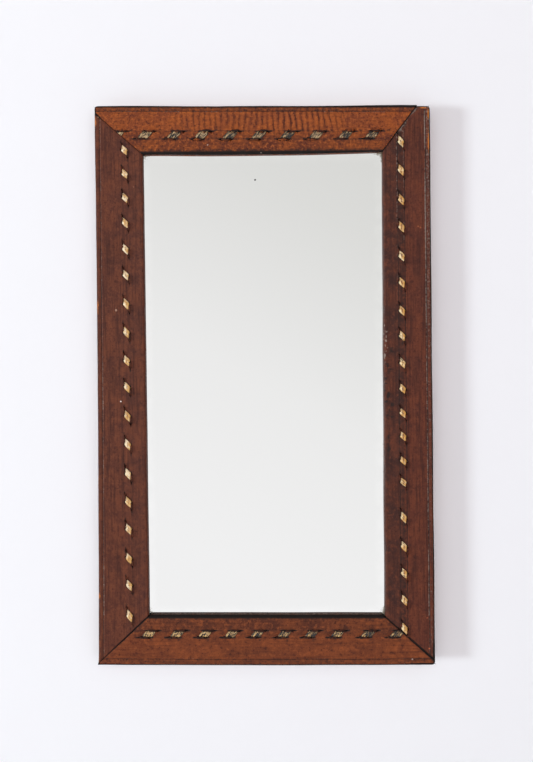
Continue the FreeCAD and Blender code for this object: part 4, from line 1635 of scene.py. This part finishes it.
    def finished(self, bm: BMesh) -> Object:
        """Give the sheet a thick body and skived edges.

        Args:
            bm: Mesh of the strip, which is freed.

        Returns:
            The cover.
        """
        cover = link_mesh(bm, f"{self.rail.side.value}_hide")
        full = cover.vertex_groups.new(name="full_thickness")
        for vert in cover.data.vertices:
            share = 1.0
            if -vert.co.y < SIZES.flap_back + self.pressed + 0.1 * MM:
                share = (SIZES.skived - self.pressed) / SIZES.leather
            elif abs(-vert.co.y - SIZES.turn_in_back) < 0.1 * MM:
                share = SIZES.skived / SIZES.leather
            full.add([vert.index], share, "REPLACE")
        cover.data.shade_smooth()
        wall = cover.modifiers.new("thickness", "SOLIDIFY")
        wall.thickness = SIZES.leather * 0.97
        wall.offset = -1
        wall.vertex_group = full.name
        return cover


class LacePoint(NamedTuple):
    """Point of a lace's middle line: its place on the rail, width, swelling and share of a stitch."""

    place: Vector
    width: float
    swell: float
    share: float


@dataclass
class Thong:
    """One lace woven over and under through the slits of a rail."""

    rail: Rail
    finish: ThongFinish
    thickness: float = 0.7 * MM
    bulge: float = 0.5 * MM
    crown: float = 0.3 * MM
    depth: float = 2.5 * MM
    lip_depth: float = 0.7 * MM
    sunk: float = 0.1 * MM
    slit_inset: float = 0.35 * MM
    pinch: float = 0.24
    ragged: float = 0.22 * MM
    crumple: float = 0.14 * MM
    over_steps: int = 12
    across_steps: int = 10
    rows_per_stitch: int = 18
    stitch_apart: float = 37 * MM

    def path(self) -> list[LacePoint]:
        """Lay out the middle line of the lace.

        Returns:
            Its points from the first stitch to the last, each stitch with the same number of them.
        """
        low, lip = SIZES.front - self.depth, SIZES.front - self.lip_depth
        stitches = self.rail.lacing.stitches()
        points = []
        for index, stitch in enumerate(stitches):
            up, down = stitch.ends
            first, second = self.rail.slit_line(False, up), self.rail.slit_line(True, down)
            inset = math.copysign(self.slit_inset, second - first)
            first, second = first + inset, second - inset
            points += [LacePoint(Vector((up, first, depth)), stitch.width, 0.0, 0.0)
                       for depth in (low, lip)]
            for step in range(self.over_steps + 1):
                share = step / self.over_steps
                swell = arch(share) ** 0.5
                front = SIZES.front - self.sunk + self.bulge * swell
                place = Vector((blend(up, down, share), blend(first, second, share), front))
                points.append(LacePoint(place, stitch.width, swell, share))
            points += [LacePoint(Vector((down, second, depth)), stitch.width, 0.0, 1.0)
                       for depth in (lip, low)]
            if index + 1 < len(stitches):
                middle = (down + stitches[index + 1].ends[0]) / 2
                points.append(LacePoint(Vector((middle, (first + second) / 2, low)), stitch.width, 0.0, 0.5))
        return points

    def build(self) -> Object:
        """Sweep the flat lace along its path, trim it at the seams and give it thickness.

        Returns:
            The lace, in the mirror's own frame.
        """
        path = self.path()
        columns = self.across_steps + 1
        bm = bmesh.new()
        bmesh.ops.create_grid(bm, x_segments=self.across_steps, y_segments=len(path) - 1, size=1)
        bm.verts.ensure_lookup_table()
        strip = bm.loops.layers.uv.new("strip")
        layers = {name: bm.verts.layers.float.new(name) for name in ("middle", "sunk", "side", "rim", "tone")}
        for index, vert in enumerate(bm.verts):
            row, column = divmod(index, columns)
            across = 2 * column / self.across_steps - 1
            vert.co = self.surface(path[row], across)
            for name, value in self.wear(path[row], across, row // self.rows_per_stitch).items():
                vert[layers[name]] = value
        for face in bm.faces:
            for loop in face.loops:
                row, column = divmod(loop.vert.index, columns)
                apart = row // self.rows_per_stitch * self.stitch_apart
                loop[strip].uv = (
                    path[row].width * column / self.across_steps + apart,
                    path[row].share * self.rail.lacing.spacing,
                )
        bmesh.ops.recalc_face_normals(bm, faces=bm.faces)
        cut_at_seams(bm, self.rail)
        lace = link_mesh(bm, f"{self.rail.side.value}_thong")
        lace.data.shade_smooth()
        body = lace.modifiers.new("thickness", "SOLIDIFY")
        body.thickness = self.thickness
        body.offset = 0
        return lace

    def surface(self, point: LacePoint, across: float) -> Vector:
        """Place one point of the lace, which is crowned, pinched in the slits and a little crumpled.

        Args:
            point: Point of the middle line.
            across: Place across the lace, from -1 to 1.

        Returns:
            The point in the mirror's frame.
        """
        place = point.place
        ragged = self.ragged * lumps(place.x * 300, across * 2, point.share * 4)
        beside = across * (1 - self.pinch * (1 - point.swell) * abs(across))
        crown = self.crown * (1 - abs(across) ** 2.4) * point.swell
        fold = self.crumple * lumps(place.x * 500 + across * 1.5, place.y * 600, 2.2) * point.swell
        return self.rail.place(place.x + beside * point.width / 2 + ragged, place.y, place.z + crown + fold)

    def wear(self, point: LacePoint, across: float, number: int) -> dict[str, float]:
        """Find the wear and the painted light of the lace at one point.

        Args:
            point: Point of the middle line.
            across: Place across the lace, from -1 to 1.
            number: Number of the stitch.

        Returns:
            A number for each kind of wear and painted light.
        """
        darker = 0.0 if self.rail.upright else point.place.x / self.rail.length - 0.5
        return {
            # middle carries painted shade of a crease with wear, sunk the painted shade where the lace dives
            # into a slit, side the painted light from the left.
            "middle": bell(across, 1.1) * bell(point.share - 0.50, 0.16),
            "sunk": 1.0 - smooth_step(0.1, 0.55, point.swell),
            "side": point.share,
            "rim": smooth_step(0.78, 1.0, abs(across)),
            "tone": lumps(number * 7.3, 1.7, self.rail.seed * 2.9) - 1.2 * darker,
        }


@dataclass(frozen=True)
class OldGlass(Finish):
    """Silvered glass, a little grey, with specks where the silver has gone at its edges."""

    name: str = "silvered_glass"
    clear: Colour = (0.88, 0.88, 0.875, 1.0)
    hazy: Colour = (0.925, 0.925, 0.918, 1.0)
    foxed: Colour = srgb(150, 140, 124)
    flaw: Mark = Mark(-9.4, -63, 0.9, srgb(16, 16, 16))
    edge_reach: Span = (2.2 * MM, 0.0)
    corner_reach: Span = (9.5 * MM, -2 * MM)
    corner_ragged: float = 7 * MM
    haze_reach: Span = (11 * MM, 1 * MM)
    edge_weight: float = 0.16
    corner_weight: float = 0.50
    speck_weight: float = 1.8

    @staticmethod
    def edge_distance(sheet: NodeSheet) -> tuple[NodeSocket, NodeSocket]:
        """Measure how far a point of the glass is from the opening's edges.

        Args:
            sheet: Sheet of the material.

        Returns:
            Distance from the nearest upright edge and from the nearest level one.
        """
        x, _, z = sheet.split(sheet.own_place())
        top_left, bottom_left = SIZES.sight(Corner.TOP_LEFT), SIZES.sight(Corner.BOTTOM_LEFT)
        top_right, bottom_right = SIZES.sight(Corner.TOP_RIGHT), SIZES.sight(Corner.BOTTOM_RIGHT)
        slope = (top_right.y - top_left.y) / (top_right.x - top_left.x)
        height = top_left.y - bottom_left.y
        drop = sheet.minus(sheet.line(sheet.minus(x, top_left.x), slope, top_left.y), z)
        left_line = sheet.line(drop, (bottom_left.x - top_left.x) / height, top_left.x)
        right_line = sheet.line(drop, (bottom_right.x - top_right.x) / height, top_right.x)
        across = sheet.math("MINIMUM", sheet.minus(x, left_line), sheet.minus(right_line, x))
        return across, sheet.math("MINIMUM", drop, sheet.minus(z, bottom_left.y))

    def paint(self, sheet: NodeSheet) -> dict[str, object]:
        """Lay out the nodes, which read the glass's own coordinates.

        Args:
            sheet: Sheet of the material.

        Returns:
            Values of the shader's inputs.
        """
        place = sheet.own_place()
        across, down = self.edge_distance(sheet)
        edge = sheet.math("MINIMUM", across, down)
        ragged = sheet.times(sheet.noise(place, 210, 3, 0.6), self.corner_ragged)
        near_edge = sheet.stretch(edge, *self.edge_reach)
        near_corner = sheet.stretch(sheet.minus(sheet.plus(across, down), ragged), *self.corner_reach)
        specks = sheet.minus(sheet.noise(place, 700, 4, 0.7), 0.5)
        cloud = sheet.stretch(sheet.noise(place, 60, 5, 0.6), 0.25, 0.70)
        haze = sheet.times(sheet.stretch(edge, *self.haze_reach), cloud)
        level = sheet.times(near_edge, self.edge_weight)
        level = sheet.plus(level, sheet.times(near_corner, self.corner_weight))
        level = sheet.plus(level, sheet.times(specks, self.speck_weight))
        gate = sheet.math("MAXIMUM", near_edge, near_corner)
        foxing = sheet.times(sheet.stretch(level, 0.30, 0.62), gate)
        base = sheet.mix(foxing, sheet.mix(haze, self.clear, self.hazy), self.foxed)
        return {
            "Base Color": self.flaw.lay(sheet, base, SIZES.turn_in_back),
            "Roughness": sheet.stretch(foxing, 0.0, 1.0, 0.015, 0.3),
            "Metallic": 1.0,
        }


@dataclass(frozen=True)
class WoodFinish(Finish):
    """Bare sawn wood, darkened towards the front as painted shade, where it shows in the gaps of the leather
    seams.
    """

    name: str
    upright: bool
    pale: Colour = srgb(178, 140, 96)
    ring: Colour = srgb(134, 95, 58)
    aged: Colour = srgb(142, 108, 74)
    # Colour and depths of the painted shade at the wood's front, seen in the seams' gaps.
    gap_shade: Colour = srgb(38, 24, 20)
    gap_shade_depth: Span = (-12 * MM, -17 * MM)

    def paint(self, sheet: NodeSheet) -> dict[str, object]:
        """Lay out the nodes, with the grain along the rail.

        Args:
            sheet: Sheet of the material.

        Returns:
            Values of the shader's inputs.
        """
        place = sheet.own_place()
        turn = (0, math.pi / 2 if self.upright else 0, 0)
        turned = sheet.fill("ShaderNodeMapping", {"Vector": place, "Rotation": turn}).outputs[0]
        grain = sheet.place(wood_grain_group(), Vector=turned).outputs
        aged = sheet.stretch(sheet.noise(place, 16, 4, 0.6), 0.4, 0.7, 0, 0.6)
        base = sheet.mix(aged, self.pale, self.aged)
        base = sheet.mix(grain["Rings"], base, self.ring)
        base = sheet.mix(sheet.stretch(grain["Lines"], 0.52, 0.75, 0, 0.5), base, self.ring)
        # Painted shade: the front of the wood is darkened where it shows in the seams' gaps.
        base = sheet.mix(sheet.stretch(sheet.split(place)[1], *self.gap_shade_depth), base, self.gap_shade)
        return {
            "Base Color": base,
            "Roughness": sheet.line(grain["Lines"], 0.2, 0.62),
            "Normal": sheet.bump(grain["Lines"], 0.2 * MM, 0.6),
        }


@dataclass(frozen=True)
class BoardFinish(Finish):
    """Pressed fibre board or card, mottled and flecked."""

    name: str
    base: Colour
    fleck: Colour
    stain: Colour

    def paint(self, sheet: NodeSheet) -> dict[str, object]:
        """Lay out the nodes, which read the board's own coordinates.

        Args:
            sheet: Sheet of the material.

        Returns:
            Values of the shader's inputs.
        """
        place = sheet.own_place()
        flecks = sheet.noise(place, 1100, 3, 0.7)
        stains = sheet.noise(place, 22, 4, 0.6)
        base = sheet.mix(sheet.stretch(flecks, 0.5, 0.72), self.base, self.fleck)
        base = sheet.mix(sheet.stretch(stains, 0.52, 0.78, 0, 0.7), base, self.stain)
        return {
            "Base Color": base,
            "Roughness": sheet.stretch(stains, 0.3, 0.7, 0.6, 0.85),
            "Normal": sheet.bump(flecks, 0.15 * MM, 0.6),
        }


@dataclass(frozen=True)
class MetalFinish(Finish):
    """Plain iron or steel with rust and rubbed bright spots."""

    name: str
    clean: Colour
    rust: Colour
    rust_range: Span
    roughness: float

    def paint(self, sheet: NodeSheet) -> dict[str, object]:
        """Lay out the nodes, which read the piece's own coordinates.

        Args:
            sheet: Sheet of the material.

        Returns:
            Values of the shader's inputs.
        """
        place = sheet.own_place()
        rust = sheet.stretch(sheet.noise(place, 330, 5, 0.65), *self.rust_range)
        pits = sheet.noise(place, 2400, 3, 0.6)
        return {
            "Base Color": sheet.mix(rust, self.clean, self.rust),
            "Metallic": sheet.minus(1.0, sheet.times(rust, 0.9)),
            "Roughness": sheet.line(rust, 0.35, self.roughness),
            "Normal": sheet.bump(pits, 0.08 * MM, 0.5),
        }


ROOM_STEPS = (
    (0.0, srgb(254, 254, 255)), (0.37, srgb(254, 254, 255)), (0.466, srgb(248, 248, 248)),
    (0.567, srgb(232, 232, 230)), (0.66, srgb(222, 222, 219)), (1.0, srgb(214, 214, 212)),
)


@dataclass(frozen=True)
class Studio:
    """White wall, pale floor, one soft light from the left and an even fill."""

    wall_gap: float = 0.3 * MM
    wall_size: float = 3.2
    floor_size: float = 14.0
    floor_drop: float = 1.0
    wall: Colour = (0.955, 0.945, 0.985, 1.0)
    # Scale of the wall's colour from the upper to the lower of these heights: painted shade, darker towards
    # the top.
    wall_fade: Span = (0.985, 1.015)
    fade_heights: Span = (0.1, -0.62)
    floor: Colour = srgb(232, 231, 233)
    floor_glow: float = 0.42
    fill: tuple[float, float, float] = (0.855, 0.82, 0.815)
    front_fill: float = 3.82
    side_fill: float = 0.15
    fill_focus: float = 7.0
    room_tilt: float = 0.55
    light_colour: tuple[float, float, float] = (0.88, 1.0, 1.02)
    light_size: float = 0.85
    key_watts: float = 112.0
    key_place: tuple[float, float, float] = (-4.29, -2.57, -0.45)
    back_watts: float = 78.0
    back_place: tuple[float, float, float] = (2.6, 4.2, 0.9)
    camera_distance: float = 1.0
    axis_height: float = -0.201
    aim_x: float = 2.1 * MM
    picture_centre: float = -0.2647
    zoom: float = 1.0038
    sensor: float = 24.0
    nearest: float = 0.01

    def build(self, box: tuple[Vector, Vector]) -> list[Object]:
        """Set up wall, floor, lights, world and camera.

        Args:
            box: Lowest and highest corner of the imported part.

        Returns:
            The stage pieces, which aren't part of the mirror.
        """
        low, high = Vector(box[0]), Vector(box[1])
        middle = (low + high) / 2
        wall = self.plane("studio_wall", Vector((0, high.y + self.wall_gap, middle.z)), self.wall_size, True)
        floor = self.plane("studio_floor", Vector((0, 0, low.z - self.floor_drop)), self.floor_size, False)
        wall.data.materials.append(self.wall_material())
        floor.data.materials.append(self.floor_material())
        self.lights(middle)
        self.world()
        self.camera(low.y)
        return [wall, floor]

    @staticmethod
    def plane(name: str, centre: Vector, size: float, upright: bool) -> Object:
        """Make a flat stage piece.

        Args:
            name: Name of the piece.
            centre: Its middle.
            size: Length of its sides.
            upright: Whether its face is towards the front, and not upwards.

        Returns:
            The piece.
        """
        bm = bmesh.new()
        bmesh.ops.create_grid(bm, x_segments=1, y_segments=1, size=size / 2)
        for vert in bm.verts:
            flat = vert.co.copy()
            vert.co = centre + (Vector((flat.x, 0, flat.y)) if upright else flat)
        return link_mesh(bm, name)

    def wall_material(self) -> Material:
        """Make a matt white wall that shows only from its front, so that the mirror's back can be seen.

        Returns:
            The material.
        """
        material, sheet = blank_material("studio_wall")
        # Painted shade: the wall's colour is a little darker towards the top and lighter towards the bottom.
        shade = sheet.stretch(sheet.split(sheet.own_place())[2], *self.fade_heights, *self.wall_fade)
        paint = sheet.feed("ShaderNodeBsdfDiffuse", sheet.mix(1.0, self.wall, shade, "MULTIPLY"))
        path = sheet.feed("ShaderNodeLightPath")
        hidden = sheet.feed("ShaderNodeNewGeometry").outputs["Backfacing"]
        for kind in ("Is Shadow Ray", "Is Diffuse Ray", "Is Glossy Ray"):
            hidden = sheet.math("MAXIMUM", hidden, path.outputs[kind])
        clear = sheet.feed("ShaderNodeBsdfTransparent")
        mixed = sheet.feed("ShaderNodeMixShader", hidden, paint.outputs[0], clear.outputs[0])
        sheet.feed("ShaderNodeOutputMaterial", mixed.outputs[0])
        return material

    def floor_material(self) -> Material:
        """Make a matt pale floor, left out of reflections so that glass shows the plain room.

        Returns:
            The material.
        """
        material, sheet = blank_material("studio_floor")
        path = sheet.feed("ShaderNodeLightPath").outputs
        paint = sheet.feed("ShaderNodeBsdfDiffuse", self.floor)
        strength = sheet.times(path["Is Camera Ray"], self.floor_glow)
        glow = sheet.feed("ShaderNodeEmission", self.floor, strength)
        pale = sheet.feed("ShaderNodeAddShader", paint.outputs[0], glow.outputs[0])
        clear = sheet.feed("ShaderNodeBsdfTransparent")
        mixed = sheet.feed("ShaderNodeMixShader", path["Is Glossy Ray"], pale.outputs[0], clear.outputs[0])
        sheet.feed("ShaderNodeOutputMaterial", mixed.outputs[0])
        return material

    def lights(self, target: Vector) -> None:
        """Set up a soft square light at the left and a weaker one behind the wall.

        Args:
            target: Point that both are turned to.
        """
        for name, place, watts in (
            ("key_light", Vector(self.key_place), self.key_watts),
            ("back_light", Vector(self.back_place), self.back_watts),
        ):
            lamp = bpy.data.lights.new(name, "AREA")
            lamp.energy = watts
            lamp.color = self.light_colour
            lamp.size = self.light_size
            light = bpy.data.objects.new(name, lamp)
            light.location = place
            light.rotation_euler = (target - place).to_track_quat("-Z", "Y").to_euler()
            bpy.context.collection.objects.link(light)

    def world(self) -> None:
        """Give an even fill light, and a pale room that glossy surfaces reflect, darker above than below."""
        world = bpy.data.worlds.new("studio_room")
        world.use_nodes = True
        world.node_tree.nodes.clear()
        sheet = NodeSheet(world.node_tree)
        bpy.context.scene.world = world
        x, y, z = sheet.split(sheet.feed("ShaderNodeTexCoord").outputs["Generated"])
        tilted = sheet.plus(z, sheet.times(x, self.room_tilt))
        room = sheet.feed("ShaderNodeValToRGB", sheet.line(tilted, 0.5, 0.5))
        elements = room.color_ramp.elements
        while len(elements) < len(ROOM_STEPS):
            elements.new(0.5)
        for element, (place, colour) in zip(elements, ROOM_STEPS):
            element.position = place
            element.color = colour
        path = sheet.feed("ShaderNodeLightPath").outputs
        seen = sheet.math("MAXIMUM", path["Is Glossy Ray"], path["Is Transmission Ray"])
        ahead = sheet.math("POWER", sheet.math("ABSOLUTE", y), self.fill_focus)
        level = sheet.line(ahead, self.front_fill, self.side_fill)
        fill = sheet.feed("ShaderNodeCombineColor", *[sheet.times(level, share) for share in self.fill])
        colour = sheet.mix(seen, fill.outputs[0], room.outputs[0])
        colour = sheet.mix(path["Is Camera Ray"], colour, self.wall)
        background = sheet.feed("ShaderNodeBackground", colour)
        sheet.feed("ShaderNodeOutputWorld", background.outputs[0])

    def camera(self, front: float) -> None:
        """Set up a camera straight in front of the mirror, its picture shifted down as the photograph's is.

        Args:
            front: Depth of the part's front.
        """
        data = bpy.data.cameras.new("photo_camera")
        data.sensor_fit = "VERTICAL"
        data.sensor_height = self.sensor
        picture_height = IMAGE_HEIGHT * MM
        data.lens = data.sensor_height * self.camera_distance / picture_height * self.zoom
        data.shift_y = (self.picture_centre - self.axis_height) / picture_height
        data.clip_start = self.nearest
        camera = bpy.data.objects.new("photo_camera", data)
        camera.location = (self.aim_x, front - self.camera_distance, self.axis_height)
        camera.rotation_euler = (math.pi / 2, 0, 0)
        bpy.context.collection.objects.link(camera)
        bpy.context.scene.camera = camera


TOP_HIDE = HideFinish(
    "top_leather", outer=srgb(130, 60, 27), inner=srgb(97, 42, 24), light=srgb(176, 92, 38),
    dark=srgb(62, 28, 20), streaks=0.3, mottling=0.9, fineness=300, pores=0.75, patches=0.4,
    marks=(Mark(-56.6, -29, 0.8, srgb(176, 140, 124)), Mark(-3.4, -37, 0.7, srgb(150, 130, 120))),
)
BOTTOM_HIDE = HideFinish(
    "bottom_leather", outer=srgb(113, 55, 30), inner=srgb(86, 42, 27), light=srgb(150, 78, 41),
    dark=srgb(58, 27, 20), streaks=0.55, mottling=0.75, fineness=200, pores=0.65, patches=0.45,
    marks=(Mark(147.6, -542, 0.9, srgb(176, 156, 146)),),
)
LEFT_HIDE = HideFinish(
    "left_leather", outer=srgb(92, 47, 34), inner=srgb(90, 48, 37), light=srgb(124, 68, 45),
    dark=srgb(60, 30, 25), streaks=0.8, mottling=0.6, fineness=190, pores=0.6, patches=0.5,
    marks=(Mark(-147.9, -194, 1.2, srgb(170, 128, 108)), Mark(-130.5, -71, 0.6, srgb(150, 96, 76)),
           Mark(-143.2, -284.9, 0.75, srgb(244, 234, 228)), Mark(-165.8, -1.4, 0.6, srgb(176, 140, 106))),
)
RIGHT_HIDE = HideFinish(
    "right_leather", outer=srgb(92, 44, 31), inner=srgb(65, 36, 31), light=srgb(118, 61, 40),
    dark=srgb(54, 27, 23), streaks=0.8, mottling=0.6, fineness=190, pores=0.6, patches=0.5,
    marks=(Mark(153.4, -110.2, 0.9, srgb(148, 80, 52)), Mark(155.6, -111.4, 0.9, srgb(148, 80, 52)),
           Mark(164.6, -531.3, 0.9, srgb(206, 112, 70)), Mark(162.3, -500.7, 0.6, srgb(170, 84, 56))),
)
THONGS = {
    Side.TOP: ThongFinish(
        "top_thong", pale=srgb(194, 162, 116), tan=srgb(150, 102, 54), worn=srgb(80, 57, 40),
        cracks_and_shade=srgb(26, 21, 18), shade_and_wear_share=0.5, crack_range=(0.56, 0.49), pale_side=0.0,
        rim_dark=0.85, tone_spread=0.07, streaky=0.7,
    ),
    Side.BOTTOM: ThongFinish(
        "bottom_thong", pale=srgb(220, 182, 122), tan=srgb(172, 116, 56), worn=srgb(84, 60, 42),
        cracks_and_shade=srgb(28, 22, 19), shade_and_wear_share=0.45, crack_range=(0.55, 0.48), pale_side=0.0,
        rim_dark=0.8, tone_spread=0.07, streaky=0.7,
    ),
    Side.LEFT: ThongFinish(
        "left_thong", pale=srgb(248, 226, 190), tan=srgb(216, 164, 90), worn=srgb(148, 90, 42),
        cracks_and_shade=srgb(46, 29, 20), shade_and_wear_share=0.5, crack_range=(0.62, 0.74), pale_side=0.26,
        rim_dark=0.5, tone_spread=0.12, streaky=0.0,
    ),
    Side.RIGHT: ThongFinish(
        "right_thong", pale=srgb(247, 220, 172), tan=srgb(218, 160, 80), worn=srgb(132, 76, 34),
        cracks_and_shade=srgb(40, 25, 20), shade_and_wear_share=0.62, crack_range=(0.58, 0.70), pale_side=0.24,
        rim_dark=0.6, tone_spread=0.12, streaky=0.0,
    ),
}


@dataclass
class WallMirror:
    """The whole mirror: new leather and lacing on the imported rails, and finishes on what stays."""

    frame: dict
    rails: dict[Side, Rail] = field(default_factory=make_rails)

    def covers(self) -> tuple[LeatherCover, ...]:
        """Describe the four covers, each with its own wear.

        Returns:
            The covers, top and bottom first.
        """
        return (
            LeatherCover(
                self.rails[Side.TOP], TOP_HIDE, wrinkles=1.0, sag=0.9 * MM, edge_band=2.6 * MM,
                sight_ink=0.9, sight_shift=(0.0, -0.2 * MM), lip_shade=0.6, lip_bare=0.7, contour=1.0,
                contour_width=1.6 * MM, slit_dark=0.85, crease_inset=5.3 * MM, crease_highlight_and_dust=0.4,
                rim_dark=0.45, scribed=0.55, hump_shade_spot=(15 * MM, 5 * MM, 0.55)),
            LeatherCover(
                self.rails[Side.BOTTOM], BOTTOM_HIDE, edge_band=3.0 * MM, sight_ink=0.95,
                sight_shift=(0.6 * MM, 0.6 * MM), lip_shade=0.5, lip_bare=0.5, lip_dust=0.72, contour=0.85,
                slit_dark=0.9, end_shift=0.9 * MM, bow=0.5 * MM, crease_inset=6.4 * MM, crease_dark=0.65,
                crease_highlight_and_dust=0.25, hump_shade_spot=(2.5 * MM, 6 * MM, 0.55)),
            LeatherCover(
                self.rails[Side.LEFT], LEFT_HIDE, bow=-0.95 * MM, rim_dark=0.14, contour=0.45,
                crease_dark=0.6),
            LeatherCover(
                self.rails[Side.RIGHT], RIGHT_HIDE, contour=1.0, contour_width=1.15 * MM, grime_and_shade=0.48,
                scribed=0.75, crease_inset=5.0 * MM, crease_highlight_and_dust=1.0, rim_dark=0.0, rim_dust=0.34,
                sight_shift=(-0.8 * MM, -1.1 * MM), outer_shift=(-0.1 * MM, 0.85 * MM), bow=-0.1 * MM),
        )

    def dress_leather(self) -> None:
        """Build covers and laces on their rails in place of the plain solids."""
        for cover in self.covers():
            piece = cover.build()
            piece.data.materials.append(cover.finish.build())
            side = cover.rail.side.value
            slot = "side_leather" if cover.rail.upright else f"{side}_leather"
            self.carry(piece, f"{side}_cover", slot)
        for rail in self.rails.values():
            thong = Thong(rail, THONGS[rail.side])
            piece = thong.build()
            piece.data.materials.append(thong.finish.build())
            self.carry(piece, f"{rail.side.value}_lace", "side_thong" if rail.upright else "cross_thong")

    @staticmethod
    def carry(piece: Object, node: str, slot: str) -> None:
        """Let a new piece stand for a node of the frame and move with it.

        Args:
            piece: The new piece.
            node: Node that it replaces.
            slot: Slot of its finish, which is not used.
        """
        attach(piece, "frame")
        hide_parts(node)
        LOG.info("%s stands for %s", piece.name, node)

    def dress_nodes(self) -> None:
        """Give the nodes that stay their own finishes."""
        finishes = {
            ("hanger_strap", "hanger_ring", "hanger_screw"):
                MetalFinish("hanger_steel", srgb(170, 166, 158), srgb(98, 66, 44), (0.52, 0.72), 0.34),
            ("cover_tacks",):
                MetalFinish("tack_iron", srgb(104, 100, 97), srgb(78, 50, 34), (0.40, 0.62), 0.45),
            ("panel_brads", "corner_nails"):
                MetalFinish("nail_steel", srgb(140, 136, 130), srgb(84, 54, 36), (0.46, 0.66), 0.38),
            ("top_rail", "bottom_rail"): WoodFinish("cross_wood", upright=False),
            ("left_rail", "right_rail"): WoodFinish("upright_wood", upright=True),
            ("back_panel",):
                BoardFinish("hardboard", srgb(122, 88, 58), srgb(84, 56, 36), srgb(98, 70, 48)),
            ("packing_card",):
                BoardFinish("grey_card", srgb(150, 143, 132), srgb(118, 110, 100), srgb(128, 116, 98)),
            ("mirror_glass",): OldGlass(),
        }
        for names, finish in finishes.items():
            material = finish.build()
            for name in names:
                node = self.frame["nodes"][name]
                node.data.materials.clear()
                node.data.materials.append(material)
                LOG.info("%s gets %s", name, material.name)


def main() -> None:
    """Load the frame, dress the mirror and set up the studio."""
    logging.basicConfig(level=logging.INFO, format="%(message)s")
    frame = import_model()
    packed_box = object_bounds()
    mirror = WallMirror(frame)
    mirror.dress_leather()
    mirror.dress_nodes()
    for piece in Studio().build(packed_box):
        LOG.info("%s is part of the stage", piece.name)
    bpy.context.scene.view_settings.view_transform = "Standard"


if __name__ == "__main__":
    main()
